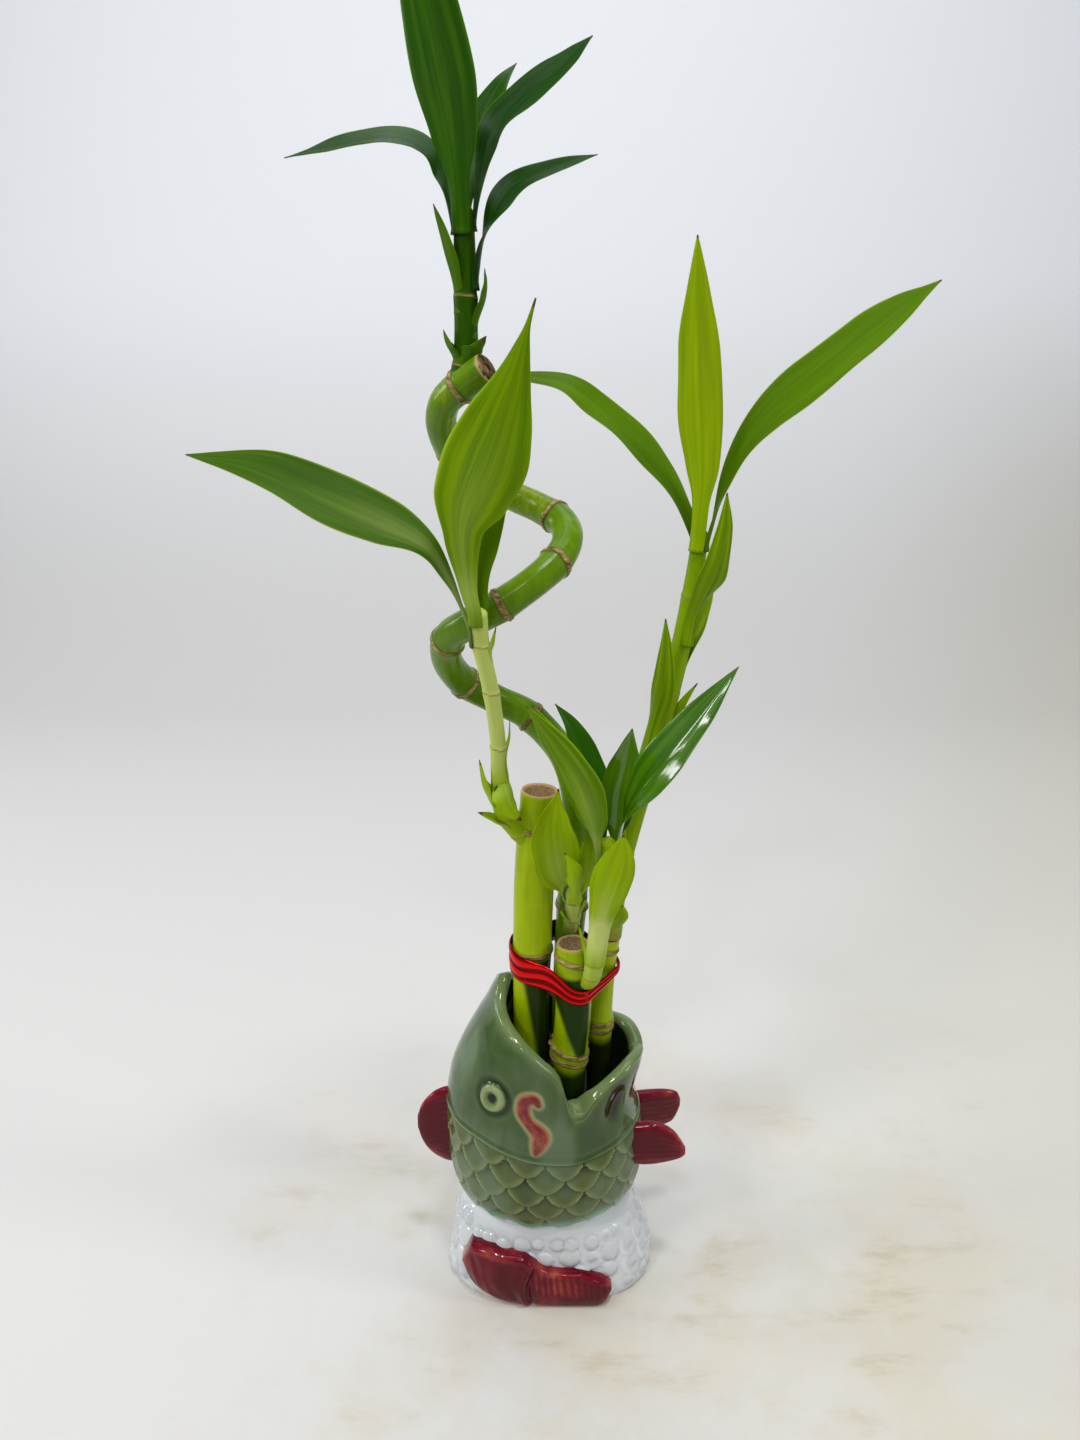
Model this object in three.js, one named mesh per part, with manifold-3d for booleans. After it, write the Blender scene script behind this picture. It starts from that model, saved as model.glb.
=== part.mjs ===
// A lucky bamboo: four canes tied with red foil, standing in water in a ceramic fish vase.
// Millimetres, +Z up. Seen from the front, +X is to the right and +Y is away.
// The origin is the middle of the vase's flat foot.
import * as THREE from "three";
import { mergeVertices } from "three/addons/utils/BufferGeometryUtils.js";
import Module from "manifold-3d";

const wasm = await Module();
wasm.setup();

// Driving dimensions
const clearance = 0.3; // between pieces that touch
const vaseHeight = 142; // foot to the top of the upper lip
const floorHeight = 12; // inside of the vase
const waterHeight = 80;
const wallThickness = 4.4;
const scaleRows = 5;
const scalesAround = 16;
const columnsPerScale = 4;
const scaleRelief = 1.7;
const leafThickness = 0.7;
const tipWidth = 0.9; // width of a leaf's blunt tip
const tieHeight = 6.5;
const tieThickness = 1.1;
const stemStep = 16; // length of stem between its rings of corners

// Small helpers

const point = (x, y, z) => new THREE.Vector3(x, y, z);
const pointFrom = (list) => new THREE.Vector3(...list);
const degrees = THREE.MathUtils.degToRad;

// Reads a chain of [place, value] pairs with rounded bends that never overshoot a value.
function along(chain, place) {
  const last = chain.length - 1;
  if (place <= chain[0][0]) return chain[0][1];
  if (place >= chain[last][0]) return chain[last][1];
  let i = 1;
  while (chain[i][0] < place) i++;
  const slope = (k) => (chain[k][1] - chain[k - 1][1]) / (chain[k][0] - chain[k - 1][0]);
  const bend = (k) => {
    if (k === 0 || k === last) return slope(k === 0 ? 1 : last);
    const before = slope(k);
    const after = slope(k + 1);
    return before * after <= 0 ? 0 : (2 * before * after) / (before + after);
  };
  const width = chain[i][0] - chain[i - 1][0];
  const t = (place - chain[i - 1][0]) / width;
  const rise = chain[i][1] - chain[i - 1][1];
  const startPull = t * (1 - t) * (1 - t) * width * bend(i - 1);
  const endPull = t * t * (t - 1) * width * bend(i);
  return chain[i - 1][1] + rise * t * t * (3 - 2 * t) + startPull + endPull;
}

// A closed body from points and triangles, turned to face outwards whichever way it was listed.
function bodyFrom(points, faces) {
  const geometry = new THREE.BufferGeometry().setFromPoints(points);
  geometry.setIndex(faces.flat());
  const merged = mergeVertices(geometry, 1e-4);
  const vertProperties = merged.attributes.position.array;
  const make = (triVerts) => new wasm.Manifold(new wasm.Mesh({ numProp: 3, vertProperties, triVerts }));
  const triVerts = new Uint32Array(merged.index.array);
  const body = make(triVerts);
  if (body.volume() > 0) return body;
  for (let i = 0; i < triVerts.length; i += 3) {
    [triVerts[i + 1], triVerts[i + 2]] = [triVerts[i + 2], triVerts[i + 1]];
  }
  return make(triVerts);
}

// Joins two rings of points by triangles. The second may have half as many points as the first.
function stitch(faces, first, second, count, secondCount) {
  for (let j = 0; j < secondCount; j++) {
    const next = (j + 1) % secondCount;
    if (count === secondCount) {
      faces.push([first + j, first + next, second + next]);
      faces.push([first + j, second + next, second + j]);
    } else {
      const a = first + 2 * j;
      const b = first + 2 * j + 1;
      const c = first + ((2 * j + 2) % count);
      faces.push([a, b, second + j]);
      faces.push([b, second + next, second + j]);
      faces.push([b, c, second + next]);
    }
  }
}

// A closed body through rings of points, with a fan of triangles over each end.
function loft(rings) {
  const points = rings.flat();
  const faces = [];
  let start = 0;
  for (let i = 0; i + 1 < rings.length; i++) {
    stitch(faces, start, start + rings[i].length, rings[i].length, rings[i + 1].length);
    start += rings[i].length;
  }
  const close = (ring, from, flip) => {
    const middle = ring.reduce((sum, p) => sum.add(p), point(0, 0, 0)).divideScalar(ring.length);
    const hub = points.push(middle) - 1;
    for (let j = 0; j < ring.length; j++) {
      const next = (j + 1) % ring.length;
      faces.push(flip ? [hub, from + next, from + j] : [hub, from + j, from + next]);
    }
  };
  close(rings[0], 0, true);
  close(rings[rings.length - 1], start, false);
  return bodyFrom(points, faces);
}

function geometryOf(body) {
  const mesh = body.getMesh();
  const geometry = new THREE.BufferGeometry();
  geometry.setAttribute("position", new THREE.BufferAttribute(new Float32Array(mesh.vertProperties), 3));
  geometry.setIndex(new THREE.BufferAttribute(new Uint32Array(mesh.triVerts), 1));
  const shaded = geometry.toNonIndexed();
  shaded.computeVertexNormals();
  return shaded;
}

// The largest of the bodies that a cut leaves.
function largest(body) {
  return body.decompose().reduce((best, one) => (one.volume() > best.volume() ? one : best));
}

function smoothCurve(list) {
  return new THREE.CatmullRomCurve3(list.map(pointFrom), false, "catmullrom", 0.5);
}

// Places, tangents and turn-free side directions at the given fractions of a curve's length.
function framesAlong(curve, places) {
  let side = null;
  return places.map((place) => {
    const centre = curve.getPointAt(place);
    const tangent = curve.getTangentAt(place);
    if (!side) side = Math.abs(tangent.x) < 0.9 ? point(1, 0, 0) : point(0, 1, 0);
    side = side.clone().addScaledVector(tangent, -side.dot(tangent)).normalize();
    const up = tangent.clone().cross(side);
    return { centre, tangent, side, up };
  });
}

// A round bar whose radius is given at each place. It may reach a little past the curve's end.
function bar(curve, places, radiusAt, sides, pastEnd = 0) {
  const rings = framesAlong(curve, places).map((frame, i) => {
    const radius = radiusAt(places[i]);
    if (i === places.length - 1) frame.centre.addScaledVector(frame.tangent, pastEnd);
    return Array.from({ length: sides }, (_, k) => {
      const turn = (2 * Math.PI * k) / sides;
      return frame.centre
        .clone()
        .addScaledVector(frame.side, radius * Math.cos(turn))
        .addScaledVector(frame.up, radius * Math.sin(turn));
    });
  });
  return loft(rings);
}

const evenly = (count) => Array.from({ length: count + 1 }, (_, i) => i / count);

// The vase. Half widths to the left and right, and half depth, by height.

const vaseLeft = [
  [0, 41.5], [2, 42.2], [12, 40.8], [25, 38.5], [31, 36.5], [34, 34.5], [38, 36.3], [43, 38.5], [50, 40.2],
  [61, 41.2], [82, 41.4], [95, 39.5], [107, 35], [119.4, 28.6], [127.4, 24.2], [135, 20.6], [vaseHeight, 17],
];
const vaseRight = [
  [0, 46.5], [2, 47.5], [10, 46], [20, 43], [31, 38.5], [34, 36], [38, 37.5], [43, 40], [50, 41.2],
  [58, 41.2], [70, 40.6], [77, 39.9], [82, 38.4], [89, 37], [97, 38.6], [103, 40], [110, 40.6],
];
const vaseDepth = [
  [0, 35], [10, 34.4], [20, 32.8], [31, 30.5], [34, 29.3], [38, 30.8], [43, 32.5], [50, 34.3], [62, 35.5],
  [82, 35.3], [94, 34], [100, 33.2], [110, 31.8], [117, 30.3], [123, 28.8], [129, 26.5], [135, 23.5],
  [vaseHeight, 18],
];
// Wall thickness by height: the foot is thick round a narrower hollow.
const caneFoot = floorHeight + 2 * clearance; // the canes lean, so one edge of each comes lower
const vaseWall = [[floorHeight, 13], [18, 11], [28, 8], [42, 5.4], [60, wallThickness]];
// Height of the lip by angle from the throat: the mouth is scooped low and has a notch in each corner.
const lipHeight = [
  [0, 107], [10, 108.5], [26, 110], [41, 108.5], [52, 106], [62, 102], [68, 98.5], [72, 96.5], [75, 98],
  [78, 105], [80, 110], [86, 116], [94, 120], [102, 123], [113, 126], [124, 128.4], [136, 130.8],
  [150, 133.7], [160, 136.5], [170, 139.9], [180, vaseHeight],
];
// Height of the gill cover's edge, where the smooth head meets the scales.
const gillHeight = [
  [0, 75.5], [40, 74.7], [57, 73.9], [73, 72.8], [88, 73.7], [101, 75], [117, 77.5], [135, 80], [180, 80.5],
];
const headRise = 1.2; // the smooth head over the scales
const gillRise = 1.9; // the gill cover's edge
const scaleFoot = 36; // lowest scales
const footGroove = 34; // between the foam and the body
const footFullness = [[0, 0.12], [12, 0.11], [25, 0.06], [footGroove, 0]]; // how far its corners fill out

// A point of the vase's surface. Angle 0 is the throat at +X, and the front is at 90 degrees.
function vasePoint(angle, height, rise) {
  const halfWidth = along(Math.cos(angle) > 0 ? vaseRight : vaseLeft, height) + rise;
  const halfDepth = along(vaseDepth, height) + rise;
  const full = 1 + along(footFullness, height) * Math.sin(2 * angle) ** 2;
  return point(full * halfWidth * Math.cos(angle), -full * halfDepth * Math.sin(angle), height);
}

// Both sides are alike, so each table is read by the angle from the throat, 0 to 180 degrees.
function fromThroat(angle) {
  const turn = Math.abs(THREE.MathUtils.radToDeg(angle)) % 360;
  return turn > 180 ? 360 - turn : turn;
}

// Scales overlap downwards like tiles: each rises towards its round lower edge.
function scaleRise(angle, height) {
  const top = along(gillHeight, fromThroat(angle));
  const rowsDown = ((top - height) / (top - scaleFoot)) * scaleRows;
  if (rowsDown <= 0 || rowsDown > scaleRows + 1) return 0;
  const row = Math.floor(rowsDown);
  const edgeOf = (k) => {
    const turns = (angle / (2 * Math.PI)) * scalesAround + (k % 2 ? 0.5 : 0);
    const across = 2 * (turns - Math.floor(turns)) - 1;
    return 0.95 * Math.sqrt(Math.max(0, 1 - across * across));
  };
  const down = rowsDown - row;
  const above = down < edgeOf(row) ? edgeOf(row) - down : 1 + edgeOf(row + 1) - down;
  return scaleRelief * (1 - above / 1.95);
}

// Foam: round bubbles in staggered rows on the foot.
const bubblesAround = 16;
const bubbleRise = 1.3;
const bubbleRowStep = 6;
const foamTop = 30;

function foamRise(angle, height) {
  const row = Math.round(height / bubbleRowStep);
  const around = Math.cos(angle * bubblesAround + (row % 2 ? 0 : Math.PI));
  const inside = Math.sin((Math.PI * Math.min(height, foamTop)) / foamTop);
  return bubbleRise * Math.max(0, around) * inside;
}

function vaseShell() {
  const columns = scalesAround * columnsPerScale;
  const ring = (count, place) => Array.from({ length: count }, (_, k) => place((2 * Math.PI * k) / count));
  const rings = [];
  for (const height of [0, 2, 8, 14, 20, 26, 31, footGroove]) {
    rings.push(ring(columns, (a) => vasePoint(a, height, foamRise(a, height))));
  }
  const scaleSteps = scaleRows * 4;
  for (let i = 0; i < scaleSteps; i++) {
    rings.push(
      ring(columns, (a) => {
        const top = along(gillHeight, fromThroat(a)) - 0.6;
        const height = scaleFoot + ((top - scaleFoot) * i) / (scaleSteps - 1);
        return vasePoint(a, height, scaleRise(a, height));
      }),
    );
  }
  const headSteps = 6;
  for (let i = 0; i <= headSteps; i++) {
    rings.push(
      ring(columns, (a) => {
        const low = along(gillHeight, fromThroat(a)) + 0.8;
        const high = along(lipHeight, fromThroat(a)) - 3;
        return vasePoint(a, low + ((high - low) * i) / headSteps, i === 0 ? gillRise : headRise);
      }),
    );
  }
  const lip = (below, rise) => (a) => {
    const top = along(lipHeight, fromThroat(a));
    const at = vasePoint(a, top, rise);
    at.z -= below;
    return at;
  };
  rings.push(ring(columns, lip(1.2, 1.6)));
  rings.push(ring(columns, lip(0, -1)));
  rings.push(ring(columns, lip(1.4, -3.4)));
  const inside = columns / 2;
  for (const share of [0.75, 0.35]) {
    rings.push(
      ring(inside, (a) => {
        const top = along(lipHeight, fromThroat(a)) - 3;
        return vasePoint(a, waterHeight + (top - waterHeight) * share, -wallThickness);
      }),
    );
  }
  for (const height of hollowHeights) rings.push(ring(inside, (a) => hollowPoint(a, height, 0)));
  return loft(rings);
}

const hollowHeights = [waterHeight, 60, 42, 28, 18, floorHeight];

function hollowPoint(angle, height, gap) {
  return vasePoint(angle, height, -along(vaseWall, height) - gap);
}

const finSides = 8;
const finRib = 0.2; // height of the ribs on a fin

// A fin in slices from its root outwards, each a lens as high as the fin's outline there.
function fin(slices, placeAt) {
  const rings = slices.map(([reach, low, high, thick]) =>
    Array.from({ length: finSides }, (_, k) => {
      const turn = (2 * Math.PI * (k + 0.5)) / finSides;
      const rib = finRib * Math.cos((finSides / 2) * turn);
      const across = (thick / 2) * Math.sin(turn) + Math.sign(Math.sin(turn)) * rib;
      return placeAt(reach, (low + high) / 2 + ((high - low) / 2) * Math.cos(turn), across);
    }),
  );
  return loft(rings);
}

// Slices: [distance out along X, lowest Z, highest Z, thickness].
function backFin() {
  const slices = [
    [-38.4, 44.5, 84.5, 8], [-43, 45.2, 84.2, 7.4], [-47.5, 47.5, 82.4, 6.8], [-51.3, 51, 79, 6],
    [-54.4, 56.5, 74.5, 4.6], [-56.1, 62.5, 69.5, 2.6],
  ];
  return fin(slices, (x, z, across) => point(x, across, z));
}

const finRootY = 12.5; // the belly fins' distance from the fish's middle, at their roots
const finSplay = 0.2; // and how fast they spread apart

function bellyFin(sideways) {
  const nearSlices = [
    [36, 55, 75, 8], [41, 55.3, 76.2, 8], [46, 56.2, 77.4, 7.4], [51, 58, 76.4, 6.6], [55, 59.8, 74, 5.6],
    [58, 61.4, 70, 3.8], [59.8, 63, 67, 1.8],
  ];
  const farSlices = [
    [36, 53, 71, 8], [42, 52.4, 70.8, 8], [48, 51.8, 70.6, 7.4], [54, 51.4, 70, 6.4], [58, 52.4, 69, 5],
    [60.5, 56, 67.5, 3.4], [61.9, 60, 64.5, 1.8],
  ];
  const slices = sideways < 0 ? nearSlices : farSlices;
  const splay = (x) => finRootY + (x - slices[0][0]) * finSplay;
  return fin(slices, (x, z, across) => point(x, sideways * (splay(x) + across), z));
}

// The tail is folded round the front of the foot in two lobes.
const tailTop = [
  [-36, 15], [-34.5, 19], [-31, 25.5], [-23, 26.5], [-17, 25.6], [-9.8, 25.5], [-6, 23.5], [-2.6, 20.8],
  [4, 17.8], [14.7, 16.8], [20, 15], [25, 12.5], [28.5, 9],
];
const tailFoot = [
  [-36, 14], [-34, 9.5], [-30, 5.5], [-25, 3.5], [-15, 1.6], [-6, 1], [5, 0.6], [22, 0.6], [26, 2], [28.5, 6.5],
];
const tailFront = [
  [-36, 27], [-34, 29.8], [-30, 33], [-20, 37.3], [-9, 38.8], [0, 39.2], [15, 39.2], [22, 39], [26, 38],
  [28.5, 36],
];

const tailDome = 2.4; // how far the middle of the tail stands out past its edges
const tailEdge = 2.2; // how far its edges lie behind tailFront
const tailRib = 0.45;
const tailSink = 6; // how deep the tail's back lies in the foot
const tailSlices = 15;

function tail() {
  const [left, right] = [tailTop[0][0], tailTop[tailTop.length - 1][0]];
  const rings = evenly(tailSlices).map((share) => {
    const x = left + share * (right - left);
    const foot = along(tailFoot, x);
    const top = along(tailTop, x);
    const front = along(tailFront, x) - tailEdge;
    const rib = tailRib * Math.cos(share * tailSlices * Math.PI);
    const ring = evenly(4).map((up) => {
      const dome = Math.sqrt(Math.sin(Math.PI * (0.12 + 0.76 * up)));
      return point(x, -(front + (tailDome + rib) * dome), foot + (top - foot) * up);
    });
    const [halfWidth, halfDepth] = [along(vaseRight, foot), along(vaseDepth, foot)];
    const back = halfDepth * Math.sqrt(1 - (x / halfWidth) ** 2) - tailSink;
    ring.push(point(x, -back, top - 0.5), point(x, -back, foot + 0.5));
    return ring;
  });
  return loft(rings);
}

const barbelSides = 6;
const barbelRise = 2.5; // height of its crest over the vase's surface

// The barbel hooks over and swells again below, raised from the cheek: [X, Z, radius].
const barbelBand = [
  [-2.7, 102.3, 1.5], [-4.4, 104.6, 2], [-7.9, 103.2, 2.4], [-9, 98.5, 2.6], [-6.6, 94, 2.6], [-3.5, 91, 2.9],
  [-1.8, 87.8, 3.2], [-2.7, 83.9, 2.7], [-3.9, 80.3, 1.4],
];

function barbel(sideways) {
  const places = barbelBand.map(([x, z, radius]) => {
    const halfWidth = along(vaseLeft, z);
    const at = vasePoint(Math.acos(x / halfWidth), z, barbelRise - radius);
    return [at.x, at.y * sideways, at.z];
  });
  const last = barbelBand.length - 1;
  const radii = barbelBand.map(([, , radius], i) => [i / last, radius]);
  return bar(smoothCurve(places), evenly(last), (place) => along(radii, place), barbelSides);
}

const eyeX = -20.5;
const eyeZ = 101.6;
const eyeRadius = 4.3;
const eyeRim = 1.5; // radius of the ring's round section
const pupilRadius = 2.3;
const pupilBulge = 0.6; // the pupil's height over its radius
const browTilt = 0.32; // the head leans back here, so the eye looks a little upwards

function eye(sideways) {
  const angle = Math.acos(eyeX / along(vaseLeft, eyeZ));
  const seat = vasePoint(angle, eyeZ, headRise - 0.3);
  const level = vasePoint(angle, eyeZ, 1).sub(vasePoint(angle, eyeZ, 0));
  const outwards = level.add(point(0, 0, browTilt)).normalize();
  const turned = new THREE.Quaternion().setFromUnitVectors(point(0, 0, 1), outwards);
  const ring = new THREE.TorusGeometry(eyeRadius, eyeRim, 5, 12);
  const pupil = new THREE.SphereGeometry(pupilRadius, 7, 4).scale(1, 1, pupilBulge);
  const bodies = [ring, pupil].map((geometry) => {
    geometry.applyQuaternion(turned).translate(seat.x, seat.y, seat.z).scale(1, sideways, 1);
    geometry.deleteAttribute("normal");
    geometry.deleteAttribute("uv");
    const merged = mergeVertices(geometry, 1e-4);
    const list = merged.attributes.position;
    const points = Array.from({ length: list.count }, (_, i) => point(list.getX(i), list.getY(i), list.getZ(i)));
    return bodyFrom(points, [Array.from(merged.index.array)]);
  });
  return bodies[0].add(bodies[1]);
}

function fishVase() {
  const trim = [tail(), backFin()];
  for (const sideways of [1, -1]) trim.push(bellyFin(sideways), barbel(sideways), eye(sideways));
  return trim.reduce((body, piece) => body.add(piece), vaseShell());
}

// The canes. Node scars are raised rings at the places named by a point beside them.

const canes = {
  left: {
    path: [
      [-9, -5, caneFoot], [-7.5, -5, 60], [-6, -5, 110], [-5, -5, 149], [-3.4, -5, 190], [-1.8, -5, 226],
    ],
    radius: [[0, 7.5], [1, 7.1]],
    scars: [[-7, -5, 40], [-6.4, -5, 96], [-5, -5, 150.5], [-2.4, -5, 212]],
    sides: 12,
    steps: 5,
  },
  front: {
    path: [[8, -10.5, caneFoot], [8.6, -12, 60], [9.1, -13, 110], [10.3, -13, 164]],
    radius: [[0, 6.8], [1, 6.5]],
    scars: [[8.3, -11.5, 34], [9.1, -13, 110], [10, -13, 157]],
    sides: 12,
    steps: 3,
  },
  spiral: {
    path: [
      [8, 9, caneFoot], [8.6, 9, 60], [9, 9, 107], [10, 9, 150], [12, 9, 185], [13, 11, 212],
      [8, 19, 231], [-6, 26, 246], [-20, 25, 254], [-32, 19, 263], [-38, 10, 275], [-36, 0, 287], [-27, -9, 295],
      [-16, -12, 302], [-4, -9, 310], [4, -2, 316], [8, 8, 322], [6, 17, 327], [-2, 25, 331], [-14, 29, 336],
      [-27, 26, 345], [-35, 18, 354], [-37.5, 8, 363], [-35.5, 0, 371], [-29, -6, 377], [-20, -11, 383],
    ],
    radius: [[0, 6.2], [0.5, 6], [1, 5.4]],
    scars: [
      [8.3, 9, 40], [9, 9, 104], [11, 9, 169], [-6, 26, 246], [-32, 19, 263], [-36.5, 2, 285], [-16, -12, 302],
      [4, -3, 315], [3, 20, 329], [-35, 18, 354], [-29, -6, 377],
    ],
    sides: 10,
    steps: 32,
  },
  right: {
    path: [[23, 1, caneFoot], [24, 1.6, 60], [24.8, 2, 113], [26.6, 2, 148], [28, 2, 158]],
    radius: [[0, 5.4], [1, 5]],
    scars: [[23.5, 1.4, 42], [24.8, 2, 113], [27, 2, 150.5]],
    sides: 10,
    steps: 4,
  },
};
const scarRise = 0.8;
const scarHalfWidth = 1.3;

const triesAlong = 600; // places tried along a cane

function nearestPlace(curve, target) {
  let best = 0;
  for (let i = 0; i <= triesAlong; i++) {
    const place = i / triesAlong;
    if (curve.getPointAt(place).distanceTo(target) < curve.getPointAt(best).distanceTo(target)) best = place;
  }
  return best;
}

function caneBody(cane, grow) {
  const curve = smoothCurve(cane.path);
  const length = curve.getLength();
  const scarPlaces = cane.scars.map((at) => nearestPlace(curve, pointFrom(at)));
  const near = scarHalfWidth / length;
  const awayFromScars = (place) => scarPlaces.every((scar) => Math.abs(place - scar) > 1.6 * near);
  const places = evenly(cane.steps).filter(awayFromScars);
  for (const scar of scarPlaces) places.push(scar - near, scar, scar + near);
  places.sort((a, b) => a - b);
  const radiusAt = (place) => {
    const onScar = scarPlaces.some((scar) => Math.abs(place - scar) < near / 2);
    return along(cane.radius, place) + grow + (onScar ? scarRise : 0);
  };
  return bar(curve, places, radiusAt, cane.sides, grow);
}

// Short roots spread from the foot of each cane into the water.
const rootReach = 4.2; // hollow in the water round the roots
const holeSides = 12;
const rootTop = 26;
const rootsPerCane = 3;
const rootRadius = [[0, 0.9], [1, 0.55]];
const rootDrops = [5, 11, 8]; // height over the cane's foot where each root comes out

// A point beside a cane's middle line, by distance from it, bearing and height over the point given.
function besideCane(middle, bearing, reach, up) {
  return pointFrom(middle).add(point(reach * Math.cos(bearing), reach * Math.sin(bearing), up));
}

function rooted(cane) {
  const radius = cane.radius[0][1];
  let body = caneBody(cane, 0);
  for (let k = 0; k < rootsPerCane; k++) {
    const bearing = (2 * Math.PI * (k + 0.3)) / rootsPerCane;
    const drop = rootDrops[k];
    const at = (reach, up) => besideCane(cane.path[0], bearing, radius + reach, up).toArray();
    const route = smoothCurve([at(-2, drop + 2), at(1, drop), at(1.9, drop / 2), at(2.4, 1)]);
    body = body.add(bar(route, evenly(3), (place) => along(rootRadius, place), 3));
  }
  return body;
}

const nubCount = 7;
const nubRadius = [[0, 1.3], [1, 0.6]];

// Little dry root nubs round the front cane's node scar, above the water.
function nubs(cane, scar) {
  const radius = cane.radius[0][1];
  return Array.from({ length: nubCount }, (_, k) => {
    const bearing = (2 * Math.PI * (k + 0.5)) / nubCount;
    const root = besideCane(scar, bearing, radius - 1.5, 1.5);
    const tip = besideCane(scar, bearing, radius + 1.7, 3);
    return bar(new THREE.LineCurve3(root, tip), [0, 1], (place) => along(nubRadius, place), 4);
  });
}

function water() {
  const columns = (scalesAround * columnsPerScale) / 2;
  const ring = (height, drop) =>
    Array.from({ length: columns }, (_, k) => {
      const at = hollowPoint((2 * Math.PI * k) / columns, height, clearance + 0.05);
      at.z += drop;
      return at;
    });
  const rings = hollowHeights.map((height) => ring(height, height === floorHeight ? clearance : 0));
  let body = loft(rings);
  for (const cane of Object.values(canes)) {
    const start = pointFrom(cane.path[0]).setZ(floorHeight - 3);
    const hole = smoothCurve([start.toArray(), ...cane.path.slice(0, 3)]);
    const holeRadius = (cane.radius[0][1] + scarRise + clearance) / Math.cos(Math.PI / holeSides);
    const rootHollow = new THREE.LineCurve3(start, start.clone().setZ(rootTop));
    body = body.subtract(bar(hole, evenly(3), () => holeRadius, holeSides));
    body = body.subtract(bar(rootHollow, [0, 1], () => cane.radius[0][1] + rootReach, holeSides));
  }
  return largest(body);
}

const spiralStraight = 0.35; // share of the spiral cane that stands straight up

// The tie: a band round the outline of the canes, on a plane that falls to the right and front.
const tiePlane = (x, y) => 151.9 - 0.266 * x + 0.268 * y;

function caneAt(cane, height) {
  const curve = smoothCurve(cane.path);
  let low = 0;
  let high = 1;
  if (cane === canes.spiral) high = spiralStraight;
  for (let i = 0; i < 30; i++) {
    const middle = (low + high) / 2;
    if (curve.getPointAt(middle).z < height) low = middle;
    else high = middle;
  }
  return { centre: curve.getPointAt(low), radius: along(cane.radius, low) };
}

// Outline of the circles round the canes at the tie's height, counterclockwise.
function caneOutline(space) {
  const spots = [];
  for (const cane of Object.values(canes)) {
    const { centre, radius } = caneAt(cane, tiePlane(cane.path[0][0], cane.path[0][1]));
    for (let k = 0; k < 36; k++) {
      const turn = (2 * Math.PI * k) / 36;
      const reach = radius + scarRise + space;
      spots.push([centre.x + reach * Math.cos(turn), centre.y + reach * Math.sin(turn)]);
    }
  }
  spots.sort((a, b) => a[0] - b[0] || a[1] - b[1]);
  const leftOf = (o, a, b) => (a[0] - o[0]) * (b[1] - o[1]) - (a[1] - o[1]) * (b[0] - o[0]) > 0;
  const half = (list) => {
    const chain = [];
    for (const spot of list) {
      while (chain.length > 1 && !leftOf(chain[chain.length - 2], chain[chain.length - 1], spot)) chain.pop();
      chain.push(spot);
    }
    return chain.slice(0, -1);
  };
  return [...half(spots), ...half(spots.reverse())];
}

// Evenly spaced points round a closed outline, starting where it crosses towards +X.
function aroundOutline(outline, count) {
  const curve = new THREE.CurvePath();
  outline.forEach(([x, y], i) => {
    const [toX, toY] = outline[(i + 1) % outline.length];
    curve.add(new THREE.LineCurve3(point(x, y, 0), point(toX, toY, 0)));
  });
  return Array.from({ length: count }, (_, k) => curve.getPointAt(k / count));
}

function tie() {
  const count = 30;
  const bulge = 0.82; // height of the outer face over the inner face
  const inner = aroundOutline(caneOutline(clearance), count);
  const points = [];
  const faces = [];
  inner.forEach((spot, k) => {
    const before = inner[(k + count - 1) % count];
    const after = inner[(k + 1) % count];
    const forward = after.clone().sub(before).normalize();
    const out = point(forward.y, -forward.x, 0);
    const far = spot.clone().addScaledVector(out, tieThickness);
    const middle = tiePlane(spot.x, spot.y);
    for (const [at, up] of [[spot, 1], [far, bulge], [far, -bulge], [spot, -1]]) {
      points.push(point(at.x, at.y, middle + (up * tieHeight) / 2));
    }
  });
  for (let k = 0; k < count; k++) {
    for (let j = 0; j < 4; j++) {
      const a = 4 * k + j;
      const b = 4 * k + ((j + 1) % 4);
      const c = 4 * ((k + 1) % count) + j;
      const d = 4 * ((k + 1) % count) + ((j + 1) % 4);
      faces.push([a, b, d], [a, d, c]);
    }
  }
  return bodyFrom(points, faces);
}

// The shoots: stems of nested leaf sheaths, each rooted in the side or end of a cane.

const shoots = {
  left: {
    cane: "left",
    path: [
      [-3.5, -5, 203], [-10, -8, 211], [-16, -11.5, 222], [-17.5, -14, 237], [-18, -17, 254],
      [-20, -21, 273], [-23, -25, 291], [-24, -28, 305],
    ],
    radius: [[0, 3.6], [0.12, 4.4], [0.25, 4], [0.45, 2.9], [0.8, 3], [1, 3.6]],
  },
  front: {
    cane: "front",
    path: [
      [11, -14, 149], [17.8, -19.5, 152], [19.6, -21, 162], [21, -21, 176], [22, -20.5, 192],
      [23, -20, 206], [24, -20, 214],
    ],
    radius: [[0, 3.2], [0.12, 4.3], [0.5, 4.2], [0.8, 3.9], [1, 3.4]],
  },
  middle: {
    cane: "spiral",
    path: [[10, 6, 158], [10.6, 0, 165], [11, -5, 172], [11, -8, 180], [10.5, -10, 187]],
    radius: [[0, 2.6], [0.3, 3.2], [1, 3.1]],
  },
  right: {
    cane: "right",
    path: [
      [28.6, 2, 158.4], [31, 3, 184], [36, 5, 208], [44, 8, 240], [51, 10, 275], [56, 12, 306],
      [58, 12, 326],
    ],
    radius: [[0, 4.9], [0.2, 4.6], [0.5, 4.2], [0.8, 3.6], [1, 3]],
  },
  top: {
    cane: "spiral",
    path: [
      [-29, -6, 378], [-27.5, -6, 386], [-27, -6, 396], [-27, -6, 411], [-27, -6, 426], [-27.5, -6, 434],
    ],
    radius: [[0, 4.2], [0.25, 4], [0.6, 3.8], [1, 3.2]],
  },
};
for (const shoot of Object.values(shoots)) shoot.curve = smoothCurve(shoot.path);

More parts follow.
